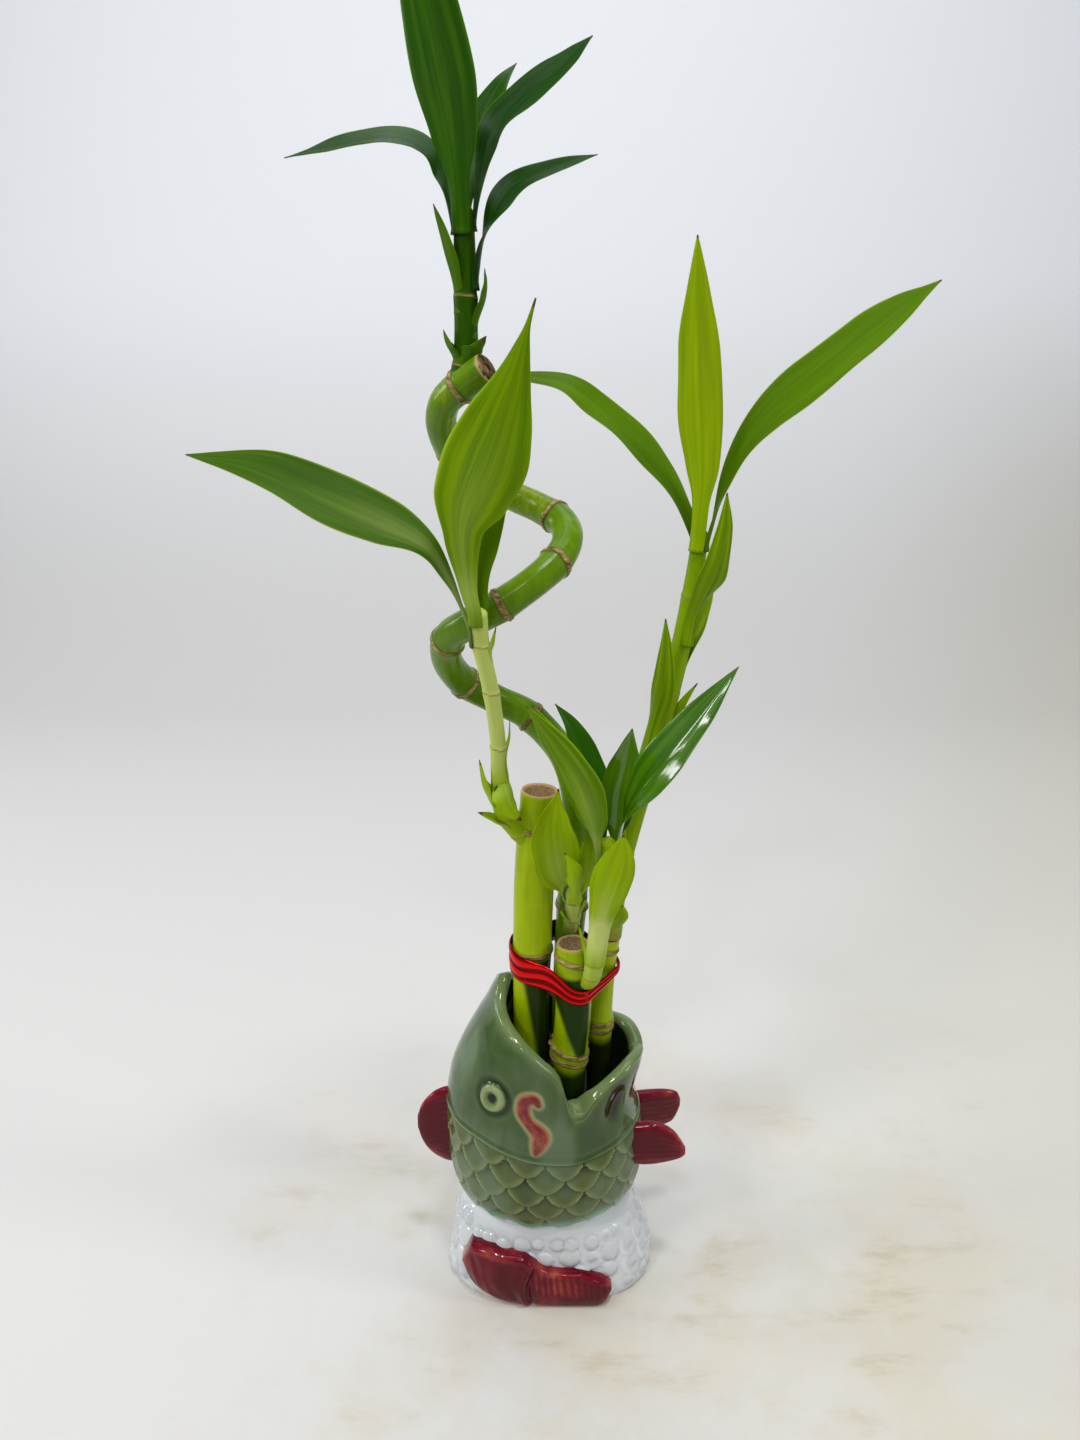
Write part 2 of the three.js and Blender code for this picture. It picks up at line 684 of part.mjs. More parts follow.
// Centre and radius of a shoot's stem at a height.
function stemAt(shoot, height) {
  let low = 0;
  let high = 1;
  for (let i = 0; i < 24; i++) {
    const middle = (low + high) / 2;
    if (shoot.curve.getPointAt(middle).z < height) low = middle;
    else high = middle;
  }
  return { centre: shoot.curve.getPointAt(low), radius: along(shoot.radius, low) };
}

// Leaf outlines: share of the full width by share of the length.
const outlines = {
  blade: [[0, 0.42], [0.12, 0.38], [0.3, 0.78], [0.48, 1], [0.66, 0.9], [0.84, 0.5], [0.95, 0.18], [1, 0.05]],
  stalked: [
    [0, 0.3], [0.12, 0.24], [0.24, 0.3], [0.42, 0.88], [0.56, 1], [0.74, 0.78], [0.9, 0.32], [1, 0.05],
  ],
  spoon: [
    [0, 0.3], [0.1, 0.32], [0.29, 0.46], [0.4, 0.86], [0.52, 1], [0.64, 0.8], [0.76, 0.46], [0.85, 0.22],
    [0.93, 0.06], [1, 0.03],
  ],
  broad: [[0, 0.3], [0.14, 0.26], [0.3, 0.72], [0.46, 1], [0.62, 0.95], [0.78, 0.68], [0.9, 0.26], [1, 0.04]],
  sheath: [[0, 1], [0.35, 0.95], [0.6, 0.75], [0.82, 0.42], [1, 0.06]],
};

// A leaf is a thin arched sheet. Its base hugs the stem over a share of the way round, then it opens
// out along the spine. Side is the bearing of the base round the stem: 0 is right, -90 is front.
function leafBody(leaf) {
  const shoot = shoots[leaf.shoot];
  const out = point(Math.cos(degrees(leaf.side)), Math.sin(degrees(leaf.side)), 0);
  const wrap = degrees(leaf.wrap);
  const sunk = leaf.sunk ?? 0;
  const acrossSteps = leaf.across ?? (leaf.wrap > 95 ? 4 : 3);
  const hug = (height) => {
    const { centre, radius } = stemAt(shoot, height);
    const reach = (radius + clearance - sunk) / Math.cos(wrap / (2 * acrossSteps)) + leafThickness / 2;
    return { spot: centre.clone().addScaledVector(out, reach), reach };
  };
  const foot = hug(leaf.from);
  const open = hug(leaf.from + leaf.hold);
  const curve = smoothCurve([foot.spot.toArray(), open.spot.toArray(), ...leaf.spine]);
  const holdShare = foot.spot.distanceTo(open.spot) / curve.getLength();
  const openShare = Math.min(0.9, holdShare + (leaf.opening ?? 0.22));
  const places = evenly(leaf.steps ?? 7);
  const rings = [];
  for (const place of places) {
    const centre = curve.getPointAt(place);
    const tangent = curve.getTangentAt(place);
    const opened = THREE.MathUtils.smoothstep(place, holdShare, openShare);
    const facing = out.clone().negate().lerp(pointFrom(leaf.face).normalize(), opened);
    const upper = facing.addScaledVector(tangent, -facing.dot(tangent)).normalize();
    const side = tangent.clone().cross(upper);
    const bend = wrap + (degrees(leaf.fold ?? 34) - wrap) * opened;
    const blade = leaf.width * along(outlines[leaf.outline], place);
    const hugging = wrap * foot.reach;
    const width = Math.max(tipWidth, hugging + (blade - hugging) * opened);
    const radius = width / bend;
    const hub = centre.clone().addScaledVector(upper, radius);
    const edge = (share, shift) => {
      const turn = bend * share;
      const reach = radius + shift;
      return hub
        .clone()
        .addScaledVector(side, reach * Math.sin(turn))
        .addScaledVector(upper, -reach * Math.cos(turn));
    };
    const shares = evenly(acrossSteps).map((share) => share - 0.5);
    rings.push([
      ...shares.map((share) => edge(share, -leafThickness / 2)),
      ...shares.reverse().map((share) => edge(share, leafThickness / 2)),
    ]);
  }
  return sheet(rings, acrossSteps);
}

// A closed body through rings that each run across one face and back across the other.
function sheet(rings, acrossSteps) {
  const count = 2 * (acrossSteps + 1);
  const faces = [];
  for (let i = 0; i + 1 < rings.length; i++) stitch(faces, i * count, (i + 1) * count, count, count);
  const closeEnd = (from, flip) => {
    for (let j = 0; j < acrossSteps; j++) {
      const [a, b] = [from + j, from + j + 1];
      const [c, d] = [from + count - 2 - j, from + count - 1 - j];
      faces.push(flip ? [a, c, b] : [a, b, c]);
      faces.push(flip ? [a, d, c] : [a, c, d]);
    }
  };
  closeEnd(0, true);
  closeEnd((rings.length - 1) * count, false);
  return bodyFrom(rings.flat(), faces);
}

// Leaves that are pieces of their own. Widths are across the blade; the spine starts where the base lets
// go of the stem, and face is the way the upper side looks.
const leaves = {
  leaf_left_low: {
    shoot: "left", side: 185, from: 290, hold: 9, wrap: 80, width: 20, outline: "stalked",
    spine: [
      [-34, -25, 314], [-41, -24, 325], [-55, -20, 332], [-75, -15, 340], [-99, -10, 350],
      [-126, -5, 354],
    ],
    face: [0.25, -0.75, 0.65],
  },
  leaf_left_tall: {
    shoot: "left", side: -62, from: 298, hold: 6, wrap: 110, width: 29, outline: "spoon", steps: 10,
    spine: [
      [-27, -31, 314], [-27.8, -32, 334], [-19.5, -33, 356], [-11.5, -34.5, 378], [-6, -36, 396],
      [-3.5, -36, 404],
    ],
    face: [0.1, 0.95, 0.2],
  },
  leaf_left_back: {
    shoot: "left", side: 70, from: 298, hold: 6, wrap: 70, width: 12, outline: "blade",
    spine: [[-21.5, -22.5, 320], [-18, -21.5, 346], [-13, -22, 370], [-9, -23, 388]],
    face: [-0.1, -0.95, 0.2],
  },
  leaf_front_wide: {
    shoot: "front", side: -95, from: 160, hold: 14, wrap: 120, width: 17, outline: "broad",
    spine: [[22, -27, 187], [25, -28.5, 200], [27.5, -30, 211], [28.5, -31, 220]],
    face: [0.1, 0.97, 0.2],
  },
  leaf_front_left: {
    shoot: "front", side: 205, from: 203, hold: 5, wrap: 70, width: 17, outline: "blade",
    spine: [[16.5, -25.5, 224], [11, -29, 241], [2, -31, 257], [-7, -31, 270]],
    face: [0.45, 0.75, 0.35],
  },
  leaf_front_inner: {
    shoot: "front", side: 155, from: 206, hold: 3, wrap: 22, width: 13, outline: "blade", across: 2,
    spine: [[17, -18.5, 224], [10, -20.5, 242], [1, -21, 257], [-5, -21, 267]],
    face: [0.45, 0.75, 0.35],
  },
  leaf_front_dark: {
    shoot: "front", side: 106, from: 203, hold: 5, wrap: 36, width: 12.5, outline: "blade",
    spine: [[20.5, -12.5, 226], [15.5, -9.5, 241], [10, -8, 254], [3.5, -7.5, 263]],
    face: [0.35, -0.85, 0.4],
  },
  leaf_front_short: {
    shoot: "front", side: 40, from: 203, hold: 5, wrap: 52, width: 15, outline: "blade",
    spine: [[27.5, -16, 227], [30, -17.5, 243], [31.5, -21, 258]],
    face: [-0.25, -0.9, 0.25],
  },
  leaf_front_right: {
    shoot: "front", side: -30, from: 203, hold: 5, wrap: 66, width: 18, outline: "blade", opening: 0.4,
    spine: [[30, -26, 226], [39, -29.5, 244], [52, -33, 264], [66, -36, 286]],
    face: [-0.5, -0.6, 0.6],
  },
  leaf_middle_wide: {
    shoot: "middle", side: 165, from: 181, hold: 2, wrap: 90, width: 20, outline: "broad",
    spine: [[5.5, -15, 194], [3.5, -18.5, 205], [2.2, -19.5, 218], [4.8, -18, 233]],
    face: [0.25, -0.9, 0.1], fold: 60,
  },
  leaf_middle_young: {
    shoot: "middle", side: -72, from: 181, hold: 2, wrap: 96, width: 8, outline: "blade", steps: 7, fold: 110,
    spine: [[11.4, -19, 193], [10.6, -23.5, 202], [7, -25.5, 210]],
    face: [0, 0.95, 0.3],
  },
  leaf_middle_right: {
    shoot: "middle", side: 34, from: 181, hold: 2, wrap: 76, width: 10, outline: "blade", steps: 7,
    spine: [[16.8, -8, 193], [17.8, -9, 203], [18.4, -9, 214]],
    face: [-0.5, -0.8, 0.2],
  },
  leaf_right_tall: {
    shoot: "right", side: -120, from: 317, hold: 6, wrap: 100, width: 16, outline: "blade",
    spine: [[56.5, 7, 344], [54, 4, 370], [51.5, -1.5, 396], [49, -8.5, 424]],
    face: [0.3, 0.9, 0.3],
  },
  leaf_right_wide: {
    shoot: "right", side: -15, from: 317, hold: 6, wrap: 84, width: 19, outline: "stalked",
    spine: [[68.5, 12, 349], [80, 8, 367], [97, 0, 383], [113, -9, 398], [127, -17, 410]],
    face: [-0.45, -0.65, 0.6],
  },
  leaf_right_arched: {
    shoot: "right", side: 110, from: 317, hold: 5, wrap: 84, width: 12, outline: "blade",
    spine: [[49, 16, 337], [41, 18, 348], [30, 19, 359.5], [18, 20, 369], [5, 21, 377], [-18, 22, 380]],
    face: [0.35, -0.6, 0.7],
  },
  leaf_right_upright: {
    shoot: "right", side: -55, from: 281, hold: 12, wrap: 96, width: 11, outline: "sheath",
    steps: 7, opening: 0.3,
    spine: [[62.5, 2.5, 311], [65, 1.5, 326], [65, 1, 340]],
    face: [-0.3, 0.8, 0.2],
  },
  leaf_right_side: {
    shoot: "right", side: -140, from: 230, hold: 18, wrap: 90, width: 10, outline: "sheath",
    steps: 7, opening: 0.3,
    spine: [[44.5, 1, 267], [45, 0, 281], [44.5, -0.5, 294]],
    face: [0.5, 0.8, 0],
  },
  leaf_top_tall: {
    shoot: "top", side: -105, from: 424, hold: 5, wrap: 96, width: 20, outline: "blade",
    spine: [[-29, -14, 448], [-31, -19.5, 464], [-34.5, -26.5, 482], [-38, -32, 498], [-41, -35.5, 514]],
    face: [0.15, 0.8, 0.5],
  },
  leaf_top_left: {
    shoot: "top", side: 168, from: 424, hold: 4, wrap: 60, width: 11, outline: "stalked",
    spine: [
      [-34.5, -5.5, 444], [-41, -6, 450.5], [-50, -7.5, 452.5], [-60, -9, 451], [-72, -10, 448.5],
      [-83, -11, 446],
    ],
    face: [0.1, -0.45, 0.9],
  },
  leaf_top_right_low: {
    shoot: "top", side: -24, from: 407, hold: 5, wrap: 60, width: 9, outline: "blade", opening: 0.4,
    spine: [[-20, -9, 424], [-12, -9.5, 437], [1, -10, 443], [16, -11, 447]],
    face: [-0.2, -0.65, 0.7],
  },
  leaf_top_right_high: {
    shoot: "top", side: 18, from: 425, hold: 4, wrap: 62, width: 12, outline: "stalked",
    spine: [[-20.5, -2.5, 446], [-17, -3, 456], [-8, -4, 464], [3, -6, 471], [14, -9, 480]],
    face: [-0.35, -0.7, 0.6],
  },
  leaf_top_back: {
    shoot: "top", side: 92, from: 425, hold: 4, wrap: 60, width: 12, outline: "blade",
    spine: [[-25, 5, 447], [-21, 9.5, 460], [-15.5, 13, 471], [-10, 17, 478]],
    face: [-0.2, -0.8, 0.5],
  },
};

// Small bracts grown onto the stems, sunk into them and joined.
const bractShape = { outline: "sheath", sunk: 0.9, steps: 3, across: 3, opening: 0.4, fold: 90 };
const bracts = {
  left: [
    {
      side: -60, from: 231, hold: 3, wrap: 170, width: 11,
      spine: [[-13, -19.5, 226], [-9, -20.5, 221]], face: [-0.6, 0.5, -0.4],
    },
    {
      side: 170, from: 220, hold: 4, wrap: 120, width: 8,
      spine: [[-23.5, -13.5, 232], [-25, -14, 243]], face: [0.9, 0.2, 0.2],
    },
    {
      side: 200, from: 210, hold: 3, wrap: 130, width: 8,
      spine: [[-19, -12, 216.5], [-26, -13, 221]], face: [0.3, 0, 0.9],
    },
    {
      side: 10, from: 236, hold: 8, wrap: 90, width: 4.5,
      spine: [[-13.6, -14, 252], [-13.4, -14.5, 259]], face: [-0.9, 0, 0],
    },
    {
      side: 5, from: 270, hold: 16, wrap: 120, width: 9,
      spine: [[-18.6, -24.5, 291], [-17.6, -24.5, 297]], face: [-0.9, 0.2, 0],
    },
  ],
  front: [
    {
      side: 155, from: 153, hold: 6, wrap: 76, width: 6,
      spine: [[14.2, -19.5, 169], [12.6, -20, 177]], face: [0.8, 0.3, 0],
    },
    {
      side: 25, from: 153, hold: 4, wrap: 80, width: 5,
      spine: [[24.2, -17, 163], [24.8, -16.6, 168]], face: [-0.8, 0, 0],
    },
  ],
  middle: [
    {
      side: -150, from: 167, hold: 4, wrap: 110, width: 6,
      spine: [[6.4, -9.5, 175], [5.8, -10.5, 179]], face: [0.9, 0.3, 0],
    },
    {
      side: -20, from: 170, hold: 3, wrap: 100, width: 5,
      spine: [[15.4, -8, 178], [16.4, -9, 183]], face: [-0.8, 0.3, 0.2],
    },
  ],
  right: [
    {
      side: -90, from: 160, hold: 5, wrap: 170, width: 11,
      spine: [[30.4, -3.8, 171], [30.2, -4.4, 177]], face: [0, 0.9, 0],
    },
    {
      side: -170, from: 196, hold: 6, wrap: 130, width: 7,
      spine: [[30.6, 2.5, 213], [31, 2, 222]], face: [0.9, 0.2, 0],
    },
    {
      side: 5, from: 224, hold: 8, wrap: 120, width: 7,
      spine: [[49, 8, 245], [53, 8.5, 256], [59, 9, 266]], face: [-0.7, -0.5, 0.2],
    },
    {
      side: 40, from: 262, hold: 10, wrap: 110, width: 8,
      spine: [[59, 15, 286], [63, 17, 298], [63, 17.5, 310]], face: [-0.7, -0.6, 0],
    },
  ],
  top: [
    {
      side: -170, from: 383, hold: 3, wrap: 120, width: 8,
      spine: [[-33.6, -7.5, 391], [-34.5, -7.5, 395]], face: [0.9, 0.1, 0],
    },
    {
      side: -65, from: 382, hold: 3, wrap: 160, width: 9,
      spine: [[-22.6, -11, 389], [-20, -12, 393]], face: [-0.6, 0.6, 0.3],
    },
    {
      side: -5, from: 392, hold: 5, wrap: 110, width: 7,
      spine: [[-20.8, -6.5, 404], [-20, -6.5, 409], [-20.4, -6.5, 414]], face: [-0.9, 0, 0],
    },
    {
      side: -165, from: 400, hold: 8, wrap: 130, width: 9,
      spine: [[-33.2, -9, 420], [-36.5, -9.5, 433]], face: [0.8, 0.3, 0.3],
    },
  ],
};

// The bare stem, closing to a blunt point a little above its last leaf.
function bareStem(shoot, grow) {
  const count = Math.round(shoot.curve.getLength() / stemStep);
  const blunt = 0.25;
  const places = [...evenly(count).slice(0, -1), 1 - blunt / count, 1];
  const radiusAt = (place) => along(shoot.radius, place) * (place === 1 ? 0.5 : 1) + grow;
  return bar(shoot.curve, places, radiusAt, 9);
}

function stemBody(name) {
  const shoot = shoots[name];
  let body = bareStem(shoot, 0);
  for (const bract of bracts[name]) {
    body = body.add(leafBody({ ...bractShape, shoot: name, ...bract }));
  }
  if (name !== "right") body = body.subtract(caneBody(canes[shoot.cane], clearance + 0.1));
  return largest(body);
}

const smallestCut = 0.2; // cubic mm: a cut below this would only leave slivers

// Each leaf is cut back from its own stem by the clearance, where the stem bends towards it.
function separateLeaf(name) {
  const whole = leafBody(leaves[name]);
  const cut = largest(whole.subtract(bareStem(shoots[leaves[name].shoot], clearance)));
  return whole.volume() - cut.volume() > smallestCut ? cut : whole;
}

// Finishes
const finishes = {
  celadon: new THREE.MeshStandardMaterial({ color: 0x62794e, roughness: 0.15 }),
  water: new THREE.MeshStandardMaterial({ color: 0xa9b8a4, roughness: 0.05 }),
  cane: new THREE.MeshStandardMaterial({ color: 0x7f9a22, roughness: 0.35 }),
  foil: new THREE.MeshStandardMaterial({ color: 0xb8101a, roughness: 0.25, metalness: 0.8 }),
  stem: new THREE.MeshStandardMaterial({ color: 0xa9c265, roughness: 0.45 }),
  leaf: new THREE.MeshStandardMaterial({ color: 0x5d8f1d, roughness: 0.35 }),
  darkLeaf: new THREE.MeshStandardMaterial({ color: 0x2f6a1e, roughness: 0.3 }),
};

const group = new THREE.Group();

function addPiece(name, body, finish) {
  const mesh = new THREE.Mesh(geometryOf(body), finishes[finish]);
  mesh.name = name;
  group.add(mesh);
}

addPiece("vase", fishVase(), "celadon");
addPiece("water", water(), "water");
for (const [name, cane] of Object.entries(canes)) {
  let body = rooted(cane);
  if (name === "front") for (const nub of nubs(cane, cane.scars[1])) body = body.add(nub);
  addPiece(`cane_${name}`, body, "cane");
}
addPiece("tie", tie(), "foil");
for (const name of Object.keys(shoots)) addPiece(`stem_${name}`, stemBody(name), "stem");
for (const name of Object.keys(leaves)) {
  addPiece(name, separateLeaf(name), leaves[name].shoot === "top" ? "darkLeaf" : "leaf");
}

export default group;
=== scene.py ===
import bpy
import numpy as np
from math import radians
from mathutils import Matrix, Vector


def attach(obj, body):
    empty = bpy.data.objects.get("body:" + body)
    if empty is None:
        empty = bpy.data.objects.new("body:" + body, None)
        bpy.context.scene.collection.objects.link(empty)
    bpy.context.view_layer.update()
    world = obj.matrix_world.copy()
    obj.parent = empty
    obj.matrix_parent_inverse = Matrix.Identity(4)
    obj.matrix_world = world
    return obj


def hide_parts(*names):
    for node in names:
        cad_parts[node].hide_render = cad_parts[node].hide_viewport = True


# A lucky bamboo in a ceramic fish vase. Shapes are worked out in millimetres and built in metres.
# +X is right and +Y away, seen from the front; the origin is the middle of the vase's foot.
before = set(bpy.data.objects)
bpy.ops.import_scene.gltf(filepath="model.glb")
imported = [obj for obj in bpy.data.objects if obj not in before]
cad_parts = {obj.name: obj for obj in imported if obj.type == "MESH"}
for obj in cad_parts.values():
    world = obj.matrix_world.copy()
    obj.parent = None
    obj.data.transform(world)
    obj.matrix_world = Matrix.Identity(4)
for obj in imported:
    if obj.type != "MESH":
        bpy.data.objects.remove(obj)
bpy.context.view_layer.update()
mm = 0.001
chance = np.random.default_rng(7)
print("frame loaded:", len(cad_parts), "nodes")


# shapes

def along(chain, place):
    # reads a chain of (place, value) pairs with rounded bends that never overshoot
    xs = np.array([c[0] for c in chain], float)
    ys = np.array([c[1] for c in chain], float)
    place = np.clip(np.asarray(place, float), xs[0], xs[-1])
    slopes = np.diff(ys) / np.diff(xs)
    pull = np.zeros(len(xs))
    pull[0], pull[-1] = slopes[0], slopes[-1]
    before, after = slopes[:-1], slopes[1:]
    same = before * after > 0
    pull[1:-1][same] = 2 * before[same] * after[same] / (before[same] + after[same])
    i = np.clip(np.searchsorted(xs, place, side="right") - 1, 0, len(xs) - 2)
    width = xs[i + 1] - xs[i]
    t = (place - xs[i]) / width
    rise = (ys[i + 1] - ys[i]) * t * t * (3 - 2 * t)
    return ys[i] + rise + t * (1 - t) ** 2 * width * pull[i] + t * t * (t - 1) * width * pull[i + 1]


def step(low, high, x):
    t = np.clip((np.asarray(x, float) - low) / (high - low), 0, 1)
    return t * t * (3 - 2 * t)


def bell(x, width):
    return np.exp(-(np.asarray(x, float) / width) ** 2)


def unit(v):
    return v / np.maximum(np.linalg.norm(v, axis=-1, keepdims=True), 1e-9)


class Path:
    # a smooth curve through points, read by share of its length
    def __init__(self, points):
        p = np.array(points, float)
        p = np.vstack([2 * p[0] - p[1], p, 2 * p[-1] - p[-2]])
        t = np.linspace(0, 1, 48, endpoint=False)[:, None]
        runs = []
        for a, b, c, d in zip(p, p[1:], p[2:], p[3:]):
            bend = (2 * a - 5 * b + 4 * c - d) * t ** 2 + (3 * b - a - 3 * c + d) * t ** 3
            runs.append(0.5 * (2 * b + (c - a) * t + bend))
        self.dense = np.vstack(runs + [p[-2:-1]])
        steps = np.linalg.norm(np.diff(self.dense, axis=0), axis=1)
        self.length = steps.sum()
        self.share = np.concatenate([[0], np.cumsum(steps)]) / self.length

    def at(self, share):
        return np.stack([np.interp(share, self.share, self.dense[:, k]) for k in range(3)], -1)

    def tangent(self, share):
        share = np.asarray(share, float)
        return unit(self.at(np.minimum(share + 0.003, 1)) - self.at(np.maximum(share - 0.003, 0)))

    def nearest(self, target):
        return self.share[np.argmin(np.linalg.norm(self.dense - np.array(target, float), axis=1))]

    def atHeight(self, height):
        above = np.argmax(self.dense[:, 2] >= height)
        return self.share[above if self.dense[above, 2] >= height else -1]

    def frames(self, share):
        # positions, tangents and side directions that never twist
        centre, tangent = self.at(share), self.tangent(share)
        side = np.zeros_like(centre)
        last = np.array([1.0, 0, 0]) if abs(tangent[0][0]) < 0.9 else np.array([0, 1.0, 0])
        for i, t in enumerate(tangent):
            last = unit(last - t * np.dot(last, t))
            side[i] = last
        return centre, tangent, side, np.cross(tangent, side)


def ringAngles(count):
    return np.linspace(0, 2 * np.pi, count, endpoint=False)


def gridFaces(rows, columns):
    r = np.arange(rows - 1)[:, None]
    c = np.arange(columns)[None, :]
    n = (c + 1) % columns
    quads = np.stack([r * columns + c, r * columns + n, (r + 1) * columns + n, (r + 1) * columns + c], -1)
    return quads.reshape(-1, 4).tolist()


def closedTube(body, start, end):
    # points and faces of a stack of rings, each end closed by a fan round one more point
    rows, columns = body.shape[:2]
    count = rows * columns
    around = [(k, (k + 1) % columns) for k in range(columns)]
    faces = gridFaces(rows, columns) + [(count, b, a) for a, b in around]
    faces += [(count - columns + a, count - columns + b, count + 1) for a, b in around]
    return np.vstack([body.reshape(-1, 3), start, end]), faces


def withEnds(field, start=0, end=0):
    # a value for every point of a closed tube
    return np.append(field.ravel(), [start, end])


def joined(parts):
    # several bodies, each with its own marks, as one
    points, faces, names = [], [], sorted(set().union(*(own for _, _, own in parts)))
    marks = {name: [] for name in names}
    first = 0
    for spots, sides, own in parts:
        points.append(spots)
        faces += [[i + first for i in face] for face in sides]
        for name in names:
            marks[name].append(own.get(name, np.zeros(len(spots))))
        first += len(spots)
    return np.vstack(points), faces, {name: np.concatenate(values) for name, values in marks.items()}


def piece(name, body, finish, replaced):
    points, faces, marks = body
    mesh = bpy.data.meshes.new(name)
    mesh.from_pydata((np.asarray(points) * mm).tolist(), [], faces)
    mesh.polygons.foreach_set("use_smooth", np.ones(len(mesh.polygons), bool))
    for mark, values in marks.items():
        layer = mesh.attributes.new(mark, "FLOAT", "POINT")
        layer.data.foreach_set("value", values.astype(np.float32))
    mesh.materials.append(finish)
    mesh.update()
    made = bpy.data.objects.new(name, mesh)
    bpy.context.scene.collection.objects.link(made)
    fixNormals(made)
    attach(made, "root")
    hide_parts(*replaced)


def fixNormals(made):
    bpy.context.view_layer.objects.active = made
    made.select_set(True)
    bpy.ops.object.mode_set(mode="EDIT")
    bpy.ops.mesh.select_all(action="SELECT")
    bpy.ops.mesh.normals_make_consistent(inside=False)
    bpy.ops.object.mode_set(mode="OBJECT")
    made.select_set(False)


# shader nodes

class Wire:
    # a socket that takes part in sums
    def __init__(self, finish, socket):
        self.finish, self.socket = finish, socket

    def sum(self, kind, a, b):
        return self.finish.node("ShaderNodeMath", {"operation": kind}, {0: a, 1: b})

    def __add__(self, other):
        return self.sum("ADD", self, other)

    def __radd__(self, other):
        return self.sum("ADD", other, self)

    def __sub__(self, other):
        return self.sum("SUBTRACT", self, other)

    def __rsub__(self, other):
        return self.sum("SUBTRACT", other, self)

    def __mul__(self, other):
        return self.sum("MULTIPLY", self, other)

    def __rmul__(self, other):
        return self.sum("MULTIPLY", other, self)

    def __abs__(self):
        return self.finish.node("ShaderNodeMath", {"operation": "ABSOLUTE"}, {0: self})


class Finish:
    def __init__(self, name, **sockets):
        self.material = bpy.data.materials.new(name)
        self.material.use_nodes = True
        self.tree = self.material.node_tree
        self.surface = self.tree.nodes["Principled BSDF"]
        for key, value in sockets.items():
            self.surface.inputs[key.replace("_", " ")].default_value = value

    def node(self, kind, settings=None, sockets=None, out=0):
        made = self.tree.nodes.new(kind)
        for key, value in (settings or {}).items():
            if key == "stops":
                ramp = made.color_ramp.elements
                while len(ramp) < len(value):
                    ramp.new(0.5)
                for spot, (place, colour) in zip(ramp, value):
                    spot.position, spot.color = place, (*colour, 1)
            else:
                setattr(made, key, value)
        for key, value in (sockets or {}).items():
            if isinstance(value, Wire):
                self.tree.links.new(value.socket, made.inputs[key])
            elif isinstance(value, tuple) and len(value) == 3 and made.inputs[key].type == "RGBA":
                made.inputs[key].default_value = (*value, 1)
            else:
                made.inputs[key].default_value = value
        return Wire(self, made.outputs[out])

    def mark(self, name):
        return self.node("ShaderNodeAttribute", {"attribute_name": name}, out="Fac")

    def place(self):
        return self.node("ShaderNodeTexCoord", out="Object")

    def stretched(self, vector, scale):
        return self.node("ShaderNodeMapping", None, {"Vector": vector, "Scale": scale})

    def noise(self, vector, scale, detail, rough=0.5):
        sockets = {"Vector": vector, "Scale": scale, "Detail": detail, "Roughness": rough}
        return self.node("ShaderNodeTexNoise", None, sockets)

    def ease(self, value, low, high):
        sockets = {"Value": value, "From Min": low, "From Max": high}
        return self.node("ShaderNodeMapRange", {"interpolation_type": "SMOOTHSTEP"}, sockets)

    def blend(self, mask, a, b):
        return self.node("ShaderNodeMix", {"data_type": "RGBA"}, {0: mask, 6: a, 7: b}, out=2)

    def paint(self, colour, *layers):
        # lays colours over one another, each by its mark and how strongly it covers
        for mark, cover, over in layers:
            colour = self.blend(self.mark(mark) * cover, colour, over)
        return colour

    def ramp(self, value, *stops):
        return self.node("ShaderNodeValToRGB", {"stops": stops}, {"Fac": value})

    def bump(self, height, strength, distance):
        sockets = {"Height": height, "Strength": strength, "Distance": distance}
        return self.node("ShaderNodeBump", None, sockets)

    def feed(self, **wires):
        for key, wire in wires.items():
            self.tree.links.new(wire.socket, self.surface.inputs[key.replace("_", " ")])
        return self.material


def rgb(red, green, blue):
    # a colour as the eye reads it, 0 to 255, as linear light
    parts = np.array([red, green, blue]) / 255
    linear = np.where(parts <= 0.04045, parts / 12.92, ((parts + 0.055) / 1.055) ** 2.4)
    return tuple(float(v) for v in linear)


# vase: the fish's body, head and foam foot in one glazed shell
vase = {
    "columns": 320, "footRows": 58, "scaleRows": 92, "headRows": 96, "lipRows": 12,
    "floor": 12, "water": 80, "groove": 34, "wall": 4.4, "glaze": 1.2,
    "scaleFoot": 36, "scales": (5, 16), "scaleRelief": 1.5, "gillRidge": 0.42,
    "bubbleRows": ((26.5, 3.2), (20.4, 3.9), (12.6, 4.3), (4.8, 3.6)),  # height and radius
    "bubbleRise": 1.25, "footRound": 240, "bubbleSpacing": 2.15, "curls": 0.1, "curlPitch": 5.2,
    "swirl": 0.35, "foamTop": 38.2, "reliefReach": 9, "throatHigh": 93.5,
    "lipDrop": 3, "corner": 70, "throat": 42,  # the corner and the throat's hollow in degrees from the throat
    "eye": (-20.5, 101.6), "eyeRing": 4.1, "eyeHollow": 7, "barbelRise": 1.35,
}
vaseLeft = [
    (0, 41.5), (2, 42.2), (12, 40.8), (25, 38.5), (31, 36.5), (34, 34.5), (38, 36.3), (43, 38.5), (50, 40.2),
    (61, 41.2), (82, 41.4), (95, 39.5), (107, 35), (119.4, 28.6), (127.4, 24.2), (135, 20.6), (142, 17)]
vaseRight = [
    (0, 46.5), (2, 47.5), (10, 46), (20, 43), (31, 38.5), (34, 36), (38, 37.5), (43, 40), (50, 41.2),
    (58, 41.2), (70, 40.6), (77, 39.9), (82, 38.4), (89, 37), (97, 38.6), (103, 40), (110, 40.6)]
